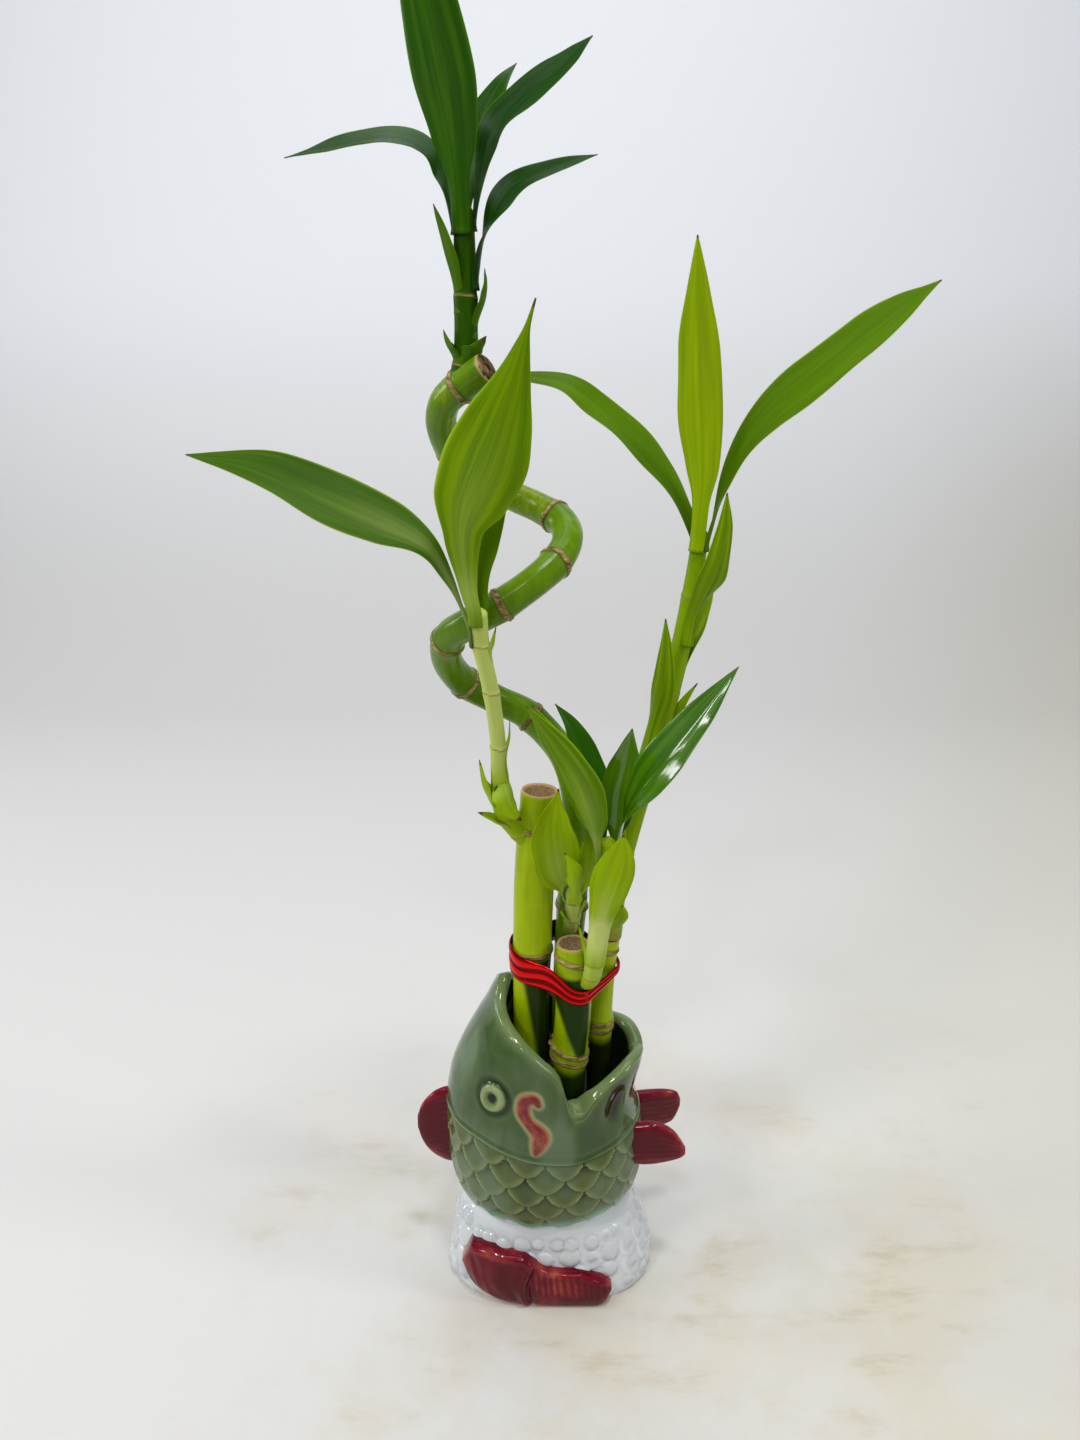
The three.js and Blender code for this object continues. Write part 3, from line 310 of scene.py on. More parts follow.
vaseDepth = [
    (0, 35), (10, 34.4), (20, 32.8), (31, 30.5), (34, 29.3), (38, 30.8), (43, 32.5), (50, 34.3), (62, 35.5),
    (82, 35.3), (94, 34), (100, 33.2), (110, 31.8), (117, 30.3), (123, 28.8), (129, 26.5), (135, 23.5),
    (142, 18)]
vaseWall = [(12, 13), (18, 11), (28, 8), (42, 5.4), (60, 4.4)]
# height of the lip and of the gill cover's edge by degrees from the throat
lipHeight = [
    (0, 107), (10, 108.5), (26, 110), (41, 108.5), (52, 106), (61, 102), (65, 98.6), (68, 96.7), (72, 96.7),
    (75.5, 98.8), (78.5, 105), (80.5, 110), (86, 116), (94, 120), (102, 123), (113, 126), (124, 128.4),
    (136, 130.8), (150, 133.7), (160, 136.5), (170, 139.9), (180, 142)]
footFullness = [(0, 0.12), (12, 0.11), (25, 0.06), (34, 0)]  # how far the foot's corners fill out
gillHeight = [
    (0, 75.5), (40, 74.7), (57, 73.9), (73, 72.8), (88, 73.7), (101, 75), (117, 77.5), (135, 80),
    (180, 80.5)]
hollowHeights = [80, 60, 42, 28, 18, 12]
# the lip's section from outside to inside: how far below its top, and how far it stands out
lipFall = [(0, 3), (0.3, 1.3), (0.6, 0), (0.8, 0.2), (1, 2)]
lipRoll = [(0, 1.2), (0.3, 1.75), (0.6, -0.6), (0.8, -2.2), (1, -3.9)]


def vaseAt(angle, height, rise):
    # angle 0 is the throat at +X and a quarter turn is the front
    across = np.where(np.cos(angle) > 0, along(vaseRight, height), along(vaseLeft, height)) + rise
    deep = along(vaseDepth, height) + rise
    full = 1 + along(footFullness, height) * np.sin(2 * angle) ** 2
    return np.stack([full * across * np.cos(angle), -full * deep * np.sin(angle), height + 0 * angle], -1)


def fromThroat(angle):
    # degrees from the throat, the same on both sides
    turn = np.abs(np.degrees(angle)) % 360
    return np.where(turn > 180, 360 - turn, turn)


def scaleRise(angle, height, gill):
    # scales overlap downwards like tiles, each rising towards its round lower edge
    rows, around = vase["scales"]
    down = (gill - height) / (gill - vase["scaleFoot"]) * rows
    row = np.floor(down)

    def edge(k):
        turns = angle / (2 * np.pi) * around + np.where(k % 2 == 1, 0.5, 0)
        return 0.95 * (1 - np.abs(2 * (turns % 1) - 1) ** 2) ** 0.85

    inside = down - row
    above = np.where(inside < edge(row), edge(row) - inside, 1 + edge(row + 1) - inside)
    return vase["scaleRelief"] * (1 - (above / 1.95) ** 0.8) + 0.12 * bell(above - 0.16, 0.14)


def soften(field, times):
    # spreads a value over its neighbours, round the vase and up and down it
    for _ in range(times):
        field = (field + np.roll(field, 1, 1) + np.roll(field, -1, 1)) / 3
        padded = np.vstack([field[:1], field, field[-1:]])
        field = (padded[:-2] + padded[1:-1] + padded[2:]) / 3
    return field


def reachTo(points, path, radii):
    # distance from each point to a path on the surface, and the path's radius there
    share = np.linspace(0, 1, 70)
    spots, radius = path.at(share), along(radii, share)
    away = np.linalg.norm(points[..., None, :] - spots, axis=-1)
    nearest = np.argmin(away - radius, axis=-1)
    return np.take_along_axis(away, nearest[..., None], -1)[..., 0], radius[nearest]


def onCheek(spots, sideways):
    # a path over the cheek through spots given as x and z
    found = []
    for x, z in spots:
        wide = float(along(vaseRight if x > 0 else vaseLeft, z))
        right, front, up = vaseAt(np.arccos(x / wide), np.float64(z), vase["glaze"])
        found.append((right, front * sideways, up))
    return Path(found)


# the barbel down its middle: x, z and radius
barbelBand = [
    (-2.7, 102.3, 1.5), (-4.4, 104.7, 2.3), (-7.9, 103, 3), (-8.6, 98.5, 2.9), (-6.5, 94.2, 2.5),
    (-3.5, 91, 3.1), (-1.8, 87.8, 3.7), (-2.7, 83.9, 3), (-3.9, 80.3, 1.3)]
barbelRadius = [(k / (len(barbelBand) - 1), spot[2]) for k, spot in enumerate(barbelBand)]


def foamFoot(angle):
    # round bubbles with a seam about each, and curls of foam between them
    v = vase
    heights = np.linspace(0, v["groove"], v["footRows"])[:, None] * np.ones_like(angle)
    flat = vaseAt(angle, heights, 0)
    foam, seam, clear = (np.zeros_like(heights) for _ in range(3))
    fade = step(0, 3, heights) * step(v["groove"], v["groove"] - 4, heights)
    for level, size in v["bubbleRows"]:
        count = int(v["footRound"] / (v["bubbleSpacing"] * size))
        for k in range(count):
            a = 2 * np.pi * (k + chance.uniform(-0.18, 0.18)) / count
            radius = size * chance.uniform(0.8, 1.15)
            spot = vaseAt(np.float64(a), np.float64(level + chance.uniform(-1.6, 1.6)), 0)
            away = np.linalg.norm(flat - spot, axis=-1)
            dome = v["bubbleRise"] * np.maximum(0, 1 - (away / radius) ** 2) ** 0.55
            seam = np.maximum(seam, bell(away - radius - 0.2, 0.35))
            clear = np.maximum(clear, step(radius, radius * 0.75, away))
            if chance.random() < v["curls"] or np.cos(a) > 0.62:
                # a curl of foam instead of a clear bubble
                about = np.arctan2(flat[..., 2] - spot[2], (angle - a) * 40)
                curl = np.cos(2 * np.pi * away / v["curlPitch"] - about)
                dome = (0.55 + 0.35 * curl) * step(radius * 1.5, radius * 0.7, away)
            foam = np.maximum(foam, dome)
    swirl = v["swirl"] * np.sin(7 * angle + heights / 3.6) * step(16, 5, heights)
    foam += swirl - 0.3 * seam * step(0.6, 0.1, foam)
    return heights, foam * fade, clear * fade


def scaleBand(angle, gill):
    # from the groove above the foam up to the gill cover
    groove = vase["groove"]
    heights = groove + (gill - groove) * np.linspace(0, 1, vase["scaleRows"] + 1)[1:, None]
    rise = scaleRise(angle, np.minimum(heights, gill - 0.02), gill)
    return heights, rise * step(groove, groove + 3.5, heights)


def headBand(turn, gill, lip):
    # the gill cover's raised edge, then the head with a crease and a swelling by the mouth's corner
    share = (np.linspace(0, 1, vase["headRows"]) ** 1.1)[:, None]
    heights = gill + 0.35 + (lip - vase["lipDrop"] - gill - 0.35) * share
    above = heights - gill
    rise = 1.25 * step(0, 0.7, above) + 0.3 + vase["gillRidge"] * bell(above - 1.1, 0.8)
    rise = rise - 0.35 * bell(above - 3, 1.2) - 0.3 * step(0.5, 0, share)
    crease = bell(turn - vase["corner"] - 6, 4) * step(86, 97, heights)
    swell = bell(turn - vase["corner"] + 4, 7) * step(84, 96, heights)
    hollow = bell(turn - vase["throat"], 8) * bell(heights - vase["throatHigh"], 8)
    return heights, rise - 0.5 * crease + 0.6 * swell - 2 * hollow


def lipBand(turn, lip):
    # the lip rolls over from outside to inside, and dips at the corners of the mouth
    share = np.linspace(0, 1, vase["lipRows"] + 1)[1:, None]
    corner = bell(turn - vase["corner"], 9)
    below = along(lipFall, share) - 2.6 * corner * step(0.5, 0.9, share)
    return lip - below, along(lipRoll, share) - 3.4 * corner * step(0.4, 1, share)


def innerWall(turn, lip):
    # down from the lip to the water's edge, then down to the floor
    corner, ones = bell(turn - vase["corner"], 9), np.ones_like(turn)
    top = lip - vase["lipDrop"]
    rows = [(top - (top - vase["water"]) * s, -vase["wall"] - 3.4 * corner * (1 - s))
            for s in (0.02, 0.15, 0.4, 0.7)]
    rows += [(h * ones, -along(vaseWall, h) * ones) for h in hollowHeights]
    return np.array([r[0] for r in rows]), np.array([r[1] for r in rows])


def raiseFace(base, height, outside, rise):
    # a barbel and an eye on each cheek, raised in place, and the marks for their colours and for the painted
    # shade round the eye
    marks = {name: np.zeros_like(height) for name in ("barbel", "edge", "halo", "ring", "pupil", "hollow")}
    for sideways in (1, -1):
        # only the cheek round the barbel is measured against it
        close = outside[:, None] & (height > 74) & (np.sign(-base[..., 1]) == sideways)
        close &= np.abs(base[..., 0] + 5) < 18
        middle = onCheek([spot[:2] for spot in barbelBand], sideways)
        away, radius = reachTo(base[close], middle, barbelRadius)
        inner = away / radius
        raised = vase["barbelRise"] * np.sqrt(np.maximum(0, 1 - (away / (radius + 0.4)) ** 2))
        rise[close] = np.maximum(rise[close], 0.9 + raised - 0.4 * bell(inner - 0.45, 0.16))
        marks["barbel"][close] = step(radius + 0.3, radius - 0.4, away)
        marks["edge"][close] = step(0.55, 0.95, inner)
        marks["halo"][close] = bell(away - radius - 0.4, 0.75)
        x, z = vase["eye"]
        spot = onCheek([(x, z - 1), (x, z), (x, z + 1)], sideways).at(0.5)
        away = np.linalg.norm(base - spot, axis=-1)
        ring = 1.6 * np.sqrt(np.maximum(0, 1 - ((away - vase["eyeRing"]) / 1.9) ** 2))
        rise += ring + 0.7 * step(2.6, 1.5, away) - 0.5 * bell(away - vase["eyeHollow"] - 0.3, 1.4)
        marks["ring"] = np.maximum(marks["ring"], step(6.2, 5.2, away))
        marks["pupil"] = np.maximum(marks["pupil"], step(2.4, 1.7, away))
        # painted shade: the hollow round the eye is painted darker
        marks["hollow"] = np.maximum(marks["hollow"], bell(away - vase["eyeHollow"], 1.6))
    return marks


def vaseShell():
    angle = ringAngles(vase["columns"])
    turn = fromThroat(angle)
    lip, gill = along(lipHeight, turn), along(gillHeight, turn)
    footHeights, footRise, clear = foamFoot(angle)
    bands = [(footHeights, footRise), scaleBand(angle, gill), headBand(turn, gill, lip), lipBand(turn, lip)]
    bands.append(innerWall(turn, lip))
    height, rise = (np.vstack([band[k] for band in bands]) for k in (0, 1))
    row = np.arange(len(height))[:, None]
    wallStart = len(height) - len(bands[-1][0])
    outside = row[:, 0] < wallStart - vase["lipRows"]
    marks = raiseFace(vaseAt(angle, height, vase["glaze"]), height, outside, rise)
    # the painted shade round the eyes is stronger on some sides than on others
    marks["hollow"] *= 0.55 + 0.45 * np.sin(angle * 3)

    # glaze pools below its neighbours' level and thins above it
    relief = rise - soften(rise, vase["reliefReach"])
    relief[~outside] = 0
    relief[outside] += 0.10 * step(8, 1.5, lip - height[outside])
    overFoam = height - vase["foamTop"] + 1.1 * np.sin(5 * angle) + 0.8 * np.sin(11 * angle + 1)
    # painted reflection: a dark patch in the throat's hollow and a second spot beside it
    throat = bell(turn - vase["throat"], 8) * bell(height - vase["throatHigh"] - 2, 8.5)
    pit = np.maximum(throat, 0.8 * bell(turn - 22, 5) * bell(height - 97, 9)) * outside[:, None]
    # painted shade: the inside of the vase is painted near black
    inside = (row >= wallStart) + 0.0 * height
    bubble = np.zeros_like(height)
    bubble[:len(clear)] = clear
    marks.update({
        "relief": relief, "bubble": bubble, "inside": inside, "pit": step(0.05, 0.7, pit),
        "foam": step(0.3, -3.2, overFoam), "teal": bell(overFoam, 2.6),
        "scaled": step(1, -1, height - gill), "rim": step(4.5, 0.6, lip - height) * (1 - inside),
    })
    points, faces = closedTube(vaseAt(angle, height, rise), [0, 0, 0], [0, 0, vase["floor"]])
    return points, faces, {name: withEnds(values) for name, values in marks.items()}


celadon = Finish("celadon glaze", Roughness=0.05, IOR=1.45, Specular_IOR_Level=0.46)
where = celadon.place()
relief = celadon.mark("relief") + (celadon.noise(where, 70, 4) - 0.5) * 0.1
green = celadon.ramp(
    relief * 0.9 + 0.5, (0.15, rgb(34, 48, 14)), (0.4, rgb(58, 82, 34)), (0.54, rgb(70, 94, 46)),
    (0.75, rgb(108, 128, 76)), (1.0, rgb(150, 164, 112)))
olive = celadon.ramp(
    relief * 0.85 + 0.5, (0.1, rgb(28, 36, 10)), (0.36, rgb(66, 80, 28)), (0.54, rgb(92, 106, 50)),
    (0.76, rgb(112, 124, 66)), (1.0, rgb(146, 154, 96)))
white = celadon.ramp(relief * 0.5 + 0.5, (0.1, rgb(198, 203, 208)), (0.5, rgb(226, 229, 230)),
                     (0.85, rgb(236, 238, 237)))
white = celadon.paint(white, ("bubble", 0.62, rgb(196, 201, 202)))
clay = celadon.ramp(celadon.noise(where, 200, 4), (0.3, rgb(98, 24, 26)), (0.55, rgb(134, 44, 40)),
                    (0.78, rgb(176, 96, 62)))
clay = celadon.paint(clay, ("edge", 0.75, rgb(190, 128, 92)))
runs = celadon.noise(celadon.stretched(where, (1, 1, 0.4)), 48, 3)
skin = celadon.paint(green, ("scaled", 1, olive))
skin = celadon.blend(celadon.ease(runs, 0.47, 0.66) * 0.55, skin, rgb(112, 134, 104))
skin = celadon.blend(celadon.ease(runs, 0.5, 0.36) * 0.5, skin, rgb(44, 68, 38))
# the hollow and inside layers are painted shade and the throat layer is a painted dark reflection; the other
# layers are the glaze's own colours
skin = celadon.paint(
    skin, ("hollow", 0.55, rgb(38, 52, 18)), ("pit", 0.92, rgb(34, 36, 18)), ("rim", 0.5, rgb(132, 150, 92)),
    ("inside", 0.93, rgb(16, 24, 8)), ("ring", 0.5, rgb(142, 160, 100)), ("halo", 0.7, rgb(176, 176, 116)),
    ("teal", 0.9, rgb(128, 178, 154)), ("foam", 1, white), ("barbel", 1, clay), ("pupil", 1, rgb(8, 14, 28)))
celadonGlaze = celadon.feed(Base_Color=skin, Normal=celadon.bump(celadon.noise(where, 100, 2), 0.16, 0.0012))

piece("fish", vaseShell(), celadonGlaze, ["vase"])
print("vase done")


# fins and tail, in wine red glaze that thins to orange brown on edges and ribs
fins = {
    "around": 120, "steps": 60, "nearRibs": 7, "backRibs": 13, "ribRise": 0.06, "dent": 0.5,
    "root": 36, "splay": 12.5,
}
tail = {
    "columns": 260, "rows": 44, "ends": (-36, 28.5), "fold": -5.5, "bulge": 2.1, "farthest": 39.6,
    "ribPitch": 2.8, "ribs": 0.18, "creases": 0.12, "ripples": 0.5, "lip": 0.35,
    "backDeep": 34, "backWide": 46, "sunk": 6,  # the hidden side, an arc inside the foot
}
# slices of a fin: x, lowest and highest z, thickness
backFin = [
    (-38, 44.5, 84.5, 8), (-43, 45.2, 84.2, 7.4), (-47.5, 47.5, 82.4, 6.8), (-51.3, 51, 79, 6),
    (-54.4, 56.5, 74.5, 4.6), (-56.1, 62.5, 69.5, 2.6)]
nearFin = [
    (36, 55, 75, 8), (41, 55.3, 76.2, 8), (46, 56.2, 77.4, 7.4), (51, 58, 76.4, 6.6), (55, 59.8, 74, 5.6),
    (58, 61.4, 70, 3.8), (59.8, 63, 67, 1.8)]
farFin = [
    (36, 53, 71, 8), (42, 52.4, 70.8, 8), (48, 51.8, 70.6, 7.4), (54, 51.4, 70, 6.4), (58, 52.4, 69, 5),
    (60.5, 56, 67.5, 3.4), (61.9, 60, 64.5, 1.8)]
# the tail along x: its upper and lower edge, and how far it stands in front
tailTop = [
    (-36, 15), (-34.5, 19), (-31, 25.5), (-23, 26.5), (-17, 25.6), (-9.8, 25.5), (-6, 23.5), (-2.6, 20.8),
    (4, 17.8), (14.7, 16.8), (20, 15), (25, 12.5), (28.5, 9)]
tailFoot = [
    (-36, 14), (-34, 9.5), (-30, 5.5), (-25, 3.5), (-15, 1.6), (-6, 1), (5, 0.6), (22, 0.6), (26, 2),
    (28.5, 6.5)]
tailFront = [
    (-36, 27), (-34, 29.8), (-30, 33), (-20, 37.3), (-9, 38.8), (0, 39.2), (15, 39.2), (22, 39), (26, 38),
    (28.5, 36)]


def finBody(slices, placeAt, ribs):
    # a lens in section, ribbed on both faces, with a smooth rim
    first, last = slices[0][0], slices[-1][0]
    share = np.sin(np.linspace(0, np.pi / 2, fins["steps"]))[:, None]
    reach = first + (last - first) * share
    low, high, thick = (
        along([(abs(s[0] - first), s[k]) for s in slices], abs(reach - first)) for k in (1, 2, 3))
    turn = ringAngles(fins["around"])[None, :] + 0 * share
    level = np.cos(turn)
    flat = step(0.98, 0.75, np.abs(level)) * step(1, 0.9, share)
    rib = np.cos(ribs * np.pi * level + 0.5) * flat
    face = np.sign(np.sin(turn))
    across = (thick / 2) * face * np.abs(np.sin(turn)) ** 0.7
    across += face * (fins["ribRise"] * rib - fins["dent"] * flat * bell(level, 0.45))
    body = placeAt(reach + 0 * turn, (low + high) / 2 + (high - low) / 2 * level, across)
    rim = np.maximum(step(0.72, 0.97, np.abs(level)), step(0.86, 1, share)) * np.ones_like(turn)
    points, faces = closedTube(body, body[0].mean(0), body[-1].mean(0))
    return points, faces, {"rim": withEnds(rim, end=1), "rib": withEnds(rib)}


def tailBody():
    # folded round the front of the foot: creased left of the fold, ribbed right of it
    columns = tail["columns"]
    x = np.linspace(*tail["ends"], columns)[:, None]
    foot, top, front = along(tailFoot, x), along(tailTop, x), along(tailFront, x)
    up = np.linspace(0, 1, tail["rows"])[None, :]
    dome = np.sqrt(np.sin(np.pi * (0.03 + 0.94 * up)))
    fold = x - tail["fold"] + 1.8 * np.sin(4.5 * up)
    lobe = step(-34, -30, x) * step(27, 23, x)
    flat = step(0, 0.12, up) * step(1, 0.86, up) * lobe
    right = step(-2, 2, fold)
    rib = np.cos(2 * np.pi * (x + 2 * up) / tail["ribPitch"] + 0.8 * np.sin(x / 3))
    rib = rib * flat * right * step(0.3, 0.5, up)
    creases = np.sin((x + 7 * np.sin(2.6 * up)) / 1.3 + np.sin(x / 2)) * flat * (1 - right)
    ripples = np.sin(9 * up + x / 1.5) * flat * step(-26, -31, x)
    lip = bell(up - 0.93, 0.05) * lobe
    out = front - 2.2 + tail["bulge"] * dome + tail["ribs"] * rib + tail["creases"] * creases
    out += tail["ripples"] * ripples + tail["lip"] * lip
    out += 1.0 * bell(fold + 2.8, 1.6) - 1.1 * bell(fold, 1.1)
    out = np.minimum(out, tail["farthest"])
    face = np.stack([x + 0 * up, -out, foot + (top - foot) * up], -1)
    back = tail["backDeep"] * np.sqrt(1 - (x / tail["backWide"]) ** 2) - tail["sunk"]
    rear = np.stack([np.hstack([x, x]), -np.hstack([back, back]), np.hstack([top - 0.6, foot + 0.6])], -1)
    body = np.concatenate([face, rear], 1)
    rim = np.maximum(step(0.09, 0.02, up), step(0.84, 0.95, up)) * np.ones_like(x)
    rim = np.maximum(rim, 0.7 * step(-30, -35, x) * np.ones_like(up))
    rim = np.maximum(rim, 0.55 * right * step(0.35, 0.55, up) * step(22, 14, x))
    rim, rib = (np.hstack([m, np.zeros((columns, 2))]) for m in (rim, rib))
    points, faces = closedTube(body, body[0].mean(0), body[-1].mean(0))
    return points, faces, {"rim": withEnds(rim, 1, 1), "rib": withEnds(rib)}


wine = Finish("wine red glaze", Roughness=0.05, IOR=1.45, Specular_IOR_Level=0.32)
where = wine.place()
thin = wine.mark("rim") * 0.46 + wine.mark("rib") * 0.16 + (wine.noise(where, 90, 4) - 0.48) * 2
red = wine.ramp(thin, (0.0, rgb(90, 2, 18)), (0.34, rgb(116, 12, 34)), (0.66, rgb(146, 52, 46)),
                (1.0, rgb(188, 112, 74)))
wineGlaze = wine.feed(Base_Color=red, Normal=wine.bump(wine.noise(where, 120, 2), 0.2, 0.0012))


def splayed(side):
    # places a belly fin, which leans away from the fish's middle plane
    def placeAt(x, z, across):
        return np.stack([x, side * (fins["splay"] + (x - fins["root"]) / 5 + across), z], -1)
    return placeAt


redParts = {
    "tail": tailBody(),
    "back_fin": finBody(backFin, lambda x, z, across: np.stack([x, across, z], -1), fins["backRibs"]),
    "near_belly_fin": finBody(nearFin, splayed(-1), fins["nearRibs"]),
    "far_belly_fin": finBody(farFin, splayed(1), fins["nearRibs"]),
}
for name, body in redParts.items():
    piece(name, body, wineGlaze, ["vase"])
print("fins and tail done")


# canes: round bars with ringed nodes, cut across the top
# cut: the rings of the cut face, each a share of the radius and a share of the sink
caneLook = {
    "sides": 60, "step": 1.0, "bevel": 0.35, "rootSides": 14, "rootCount": 3, "pits": 0.12,
    "ring": (0.36, 0.45, 0.25), "swell": 0.3, "ruts": (0.045, 0.06), "highest": 0.8,
    "cut": ((0.9, 0), (0.84, 0.25), (0.78, 1), (0.6, 1), (0.42, 1), (0.24, 1), (0.08, 1)),
}
foot = 12.6  # where the canes stand, just above the vase's floor
# dark: height that the shade inside the vase reaches; lean: tilt of the node rings;
# zone: how far right of the middle the dark side begins, by height
canes = {
    "left": {
        "path": [
            (-9, -5, foot), (-7.6, -5, 60), (-6.2, -5, 110), (-5.6, -5, 149), (-4.5, -5, 190),
            (-2.2, -5, 227)],
        "radius": [(0, 7.5), (0.55, 7.5), (0.8, 8), (0.88, 7.9), (1, 7.5)],
        "scars": [(-7, -5, 40), (-6.4, -5, 94), (-5.4, -5, 156.5), (-3, -5, 212)],
        "cutSink": 0.9, "dark": 103, "lean": 0, "zone": [(100, 4), (113, 2.2), (148, -3.8), (152, -4.6)],
    },
    "front": {
        "path": [(8, -10.5, foot), (8.8, -12, 60), (9.9, -13, 110), (11.4, -13, 134), (10.9, -13, 164)],
        "radius": [(0, 6.8), (0.62, 7.1), (0.8, 7.4), (0.92, 7), (1, 6.6)],
        "scars": [(8.3, -11.5, 34), (10.2, -13, 114.4), (10, -13, 111), (11, -13, 157)],
        "cutSink": 0.3, "dark": 109.5, "lean": 1.7, "zone": [(112, 3.4), (118, 1), (128, -3.4), (140, -8)],
    },
    "spiral": {
        "path": [
            (8, 9, foot), (8.6, 9, 60), (9, 9, 107), (10, 9, 150), (12, 9, 185), (13, 11, 212), (8, 19, 231),
            (-6, 26, 246), (-20, 25, 254), (-32, 19, 263), (-38, 10, 275), (-36, 0, 287), (-27, -9, 295),
            (-16, -12, 302), (-4, -9, 310), (4, -2, 316), (8, 8, 322), (6, 17, 327), (-2, 25, 331),
            (-14, 29, 336), (-27, 26, 345), (-35, 18, 354), (-37.5, 8, 363), (-35.5, 0, 371), (-29, -6, 377),
            (-20, -11, 383)],
        "radius": [(0, 6.2), (0.5, 6), (1, 5.4)],
        "scars": [
            (8.3, 9, 40), (9, 9, 104), (11, 9, 169), (-6, 26, 246), (-32, 19, 263), (-36.5, 2, 285),
            (-16, -12, 302), (4, -3, 315), (3, 20, 329), (-35, 18, 354), (-29, -6, 377)],
        "cutSink": 0.6, "dark": 112, "lean": 0,
    },
    "right": {
        "path": [(23, 1, foot), (23.6, 1.6, 60), (23.2, 2, 113), (24.6, 2, 148), (26, 2, 158)],
        "radius": [(0, 5.4), (1, 5)],
        "scars": [(23.5, 1.4, 42), (23.3, 2, 117.2), (23.2, 2, 115), (25.4, 2, 152.5)],
        "cutSink": 0.2, "dark": 113, "lean": 0,
    },
}


def rings(path, share, radius, sides, wave=0):
    # circles across a path, raised by a wave
    centre, _, side, up = path.frames(share)
    turn = ringAngles(sides)[:, None]
    out = side[:, None] * np.cos(turn) + up[:, None] * np.sin(turn)
    reach = radius[:, None] + wave + np.zeros((1, sides))
    return centre[:, None] + out * reach[..., None]


def caneShade(name, cane, height, across, deep):
    # dark where the cane stands in the vase, and in the shadow of its neighbours
    shade = step(cane["dark"], cane["dark"] - 6, height)
    if name == "left":
        zone = step(-1.1, 1.1, across - np.interp(height, *zip(*cane["zone"])))
        shade = np.maximum(shade, zone * step(156, 153, height))
    if name == "front":
        zone = step(-0.9, 0.9, across - np.interp(height, *zip(*cane["zone"])))
        zone = zone * step(6.9, 5.9, across) * step(110, 114, height) * step(2, -2, deep)
        shade = np.maximum(shade, zone * step(152, 150, height))
    return shade


def caneBody(name, cane):
    path, sides = Path(cane["path"]), caneLook["sides"]
    share = np.linspace(0, 1, int(path.length / caneLook["step"]) + 1)
    extra = [np.linspace(-3, 3, 17) / path.length + path.nearest(at) for at in cane["scars"]]
    share = np.unique(np.clip(np.concatenate([share, *extra]), 0, 1 - 0.35 / path.length))
    share = np.append(share, 1 - 0.1 / path.length)
    place = share * path.length
    radius = along(cane["radius"], share)
    turn = ringAngles(sides)
    scar, swell = np.zeros((len(share), sides)), np.zeros(len(share))
    for at in cane["scars"]:
        tilt = 0.35 * np.sin(turn + chance.uniform(0, 6)) + 0.18 * np.sin(3 * turn + chance.uniform(0, 6))
        tilt += cane["lean"] * np.cos(turn)
        beyond = place - path.nearest(at) * path.length
        away = beyond[:, None] + tilt
        over, under, wide = caneLook["ring"]
        ring = over * bell(away - 0.75, 0.42) + under * bell(away + 0.35, 0.4) + wide * bell(away, 1.3)
        scar = np.maximum(scar, ring)
        swell += caneLook["swell"] * bell(beyond, 5)
    fine, coarse = caneLook["ruts"]
    ruts = fine * np.sin(17 * turn + 1.5 * np.sin(4 * turn)) + coarse * np.sin(5 * turn + 2)
    bevel = caneLook["bevel"] * step(0.9, 0.0, path.length - place)
    wave = np.minimum(scar + ruts, caneLook["highest"])
    body = rings(path, share, radius + swell - bevel, sides, wave)

    # the cut face: a rim, then a face sunk a little below it
    centre, tangent, side, up = (values[-1] for values in path.frames(share[-2:]))
    spokes = side * np.cos(turn)[:, None] + up * np.sin(turn)[:, None]
    cap, deepest = [], caneLook["pits"]
    for reach, sink in caneLook["cut"]:
        pits = chance.uniform(-deepest, deepest, (sides, 1)) * (reach < 0.8)
        cap.append(centre + spokes * radius[-1] * reach - tangent * (sink * cane["cutSink"] + pits))
    count = len(cap)
    body = np.concatenate([body, np.array(cap)])
    cut, rim = np.zeros(body.shape[:2]), np.zeros(body.shape[:2])
    cut[-count:] = 1
    rim[-count - 2:-count + 2] = 1
    middle = np.vstack([path.at(share), np.tile(centre, (count, 1))])[:, None]
    across, deep, height = np.moveaxis(body - middle * [1, 1, 0], -1, 0)
    marks = {
        "scar": np.vstack([scar, np.zeros((count, sides))]), "cut": cut, "rim": rim,
        "shade": caneShade(name, cane, height, across, deep),
    }
    points, faces = closedTube(body, path.at(0), centre - tangent * cane["cutSink"])
    return points, faces, {k: withEnds(m, 0, m[-1, 0]) for k, m in marks.items()}


def tube(spots, radii, scar, steps=24):
    # a root, with one value for how dry it is
    path = Path(spots)
    share = np.linspace(0, 1, steps)
    body = rings(path, share, along(radii, share), caneLook["rootSides"])
    points, faces = closedTube(body, path.at(0), path.at(1))
    return points, faces, {"scar": np.full(len(points), scar)}


def roots(cane):
    # three short roots round the foot of a cane
    x, y, z = cane["path"][0]
    radius = cane["radius"][0][1]
    made = []
    for k in range(caneLook["rootCount"]):
        turn = 2 * np.pi * (k + 0.3) / caneLook["rootCount"]
        drop = 5 + 3 * ((k * 2) % 3)
        spots = [(x + (radius + out) * np.cos(turn), y + (radius + out) * np.sin(turn), z + up)
                 for out, up in ((-2, drop + 2), (1, drop), (1.9, drop / 2), (2.4, 1))]
        made.append(tube(spots, [(0, 0.9), (1, 0.5)], 0.7))
    return made


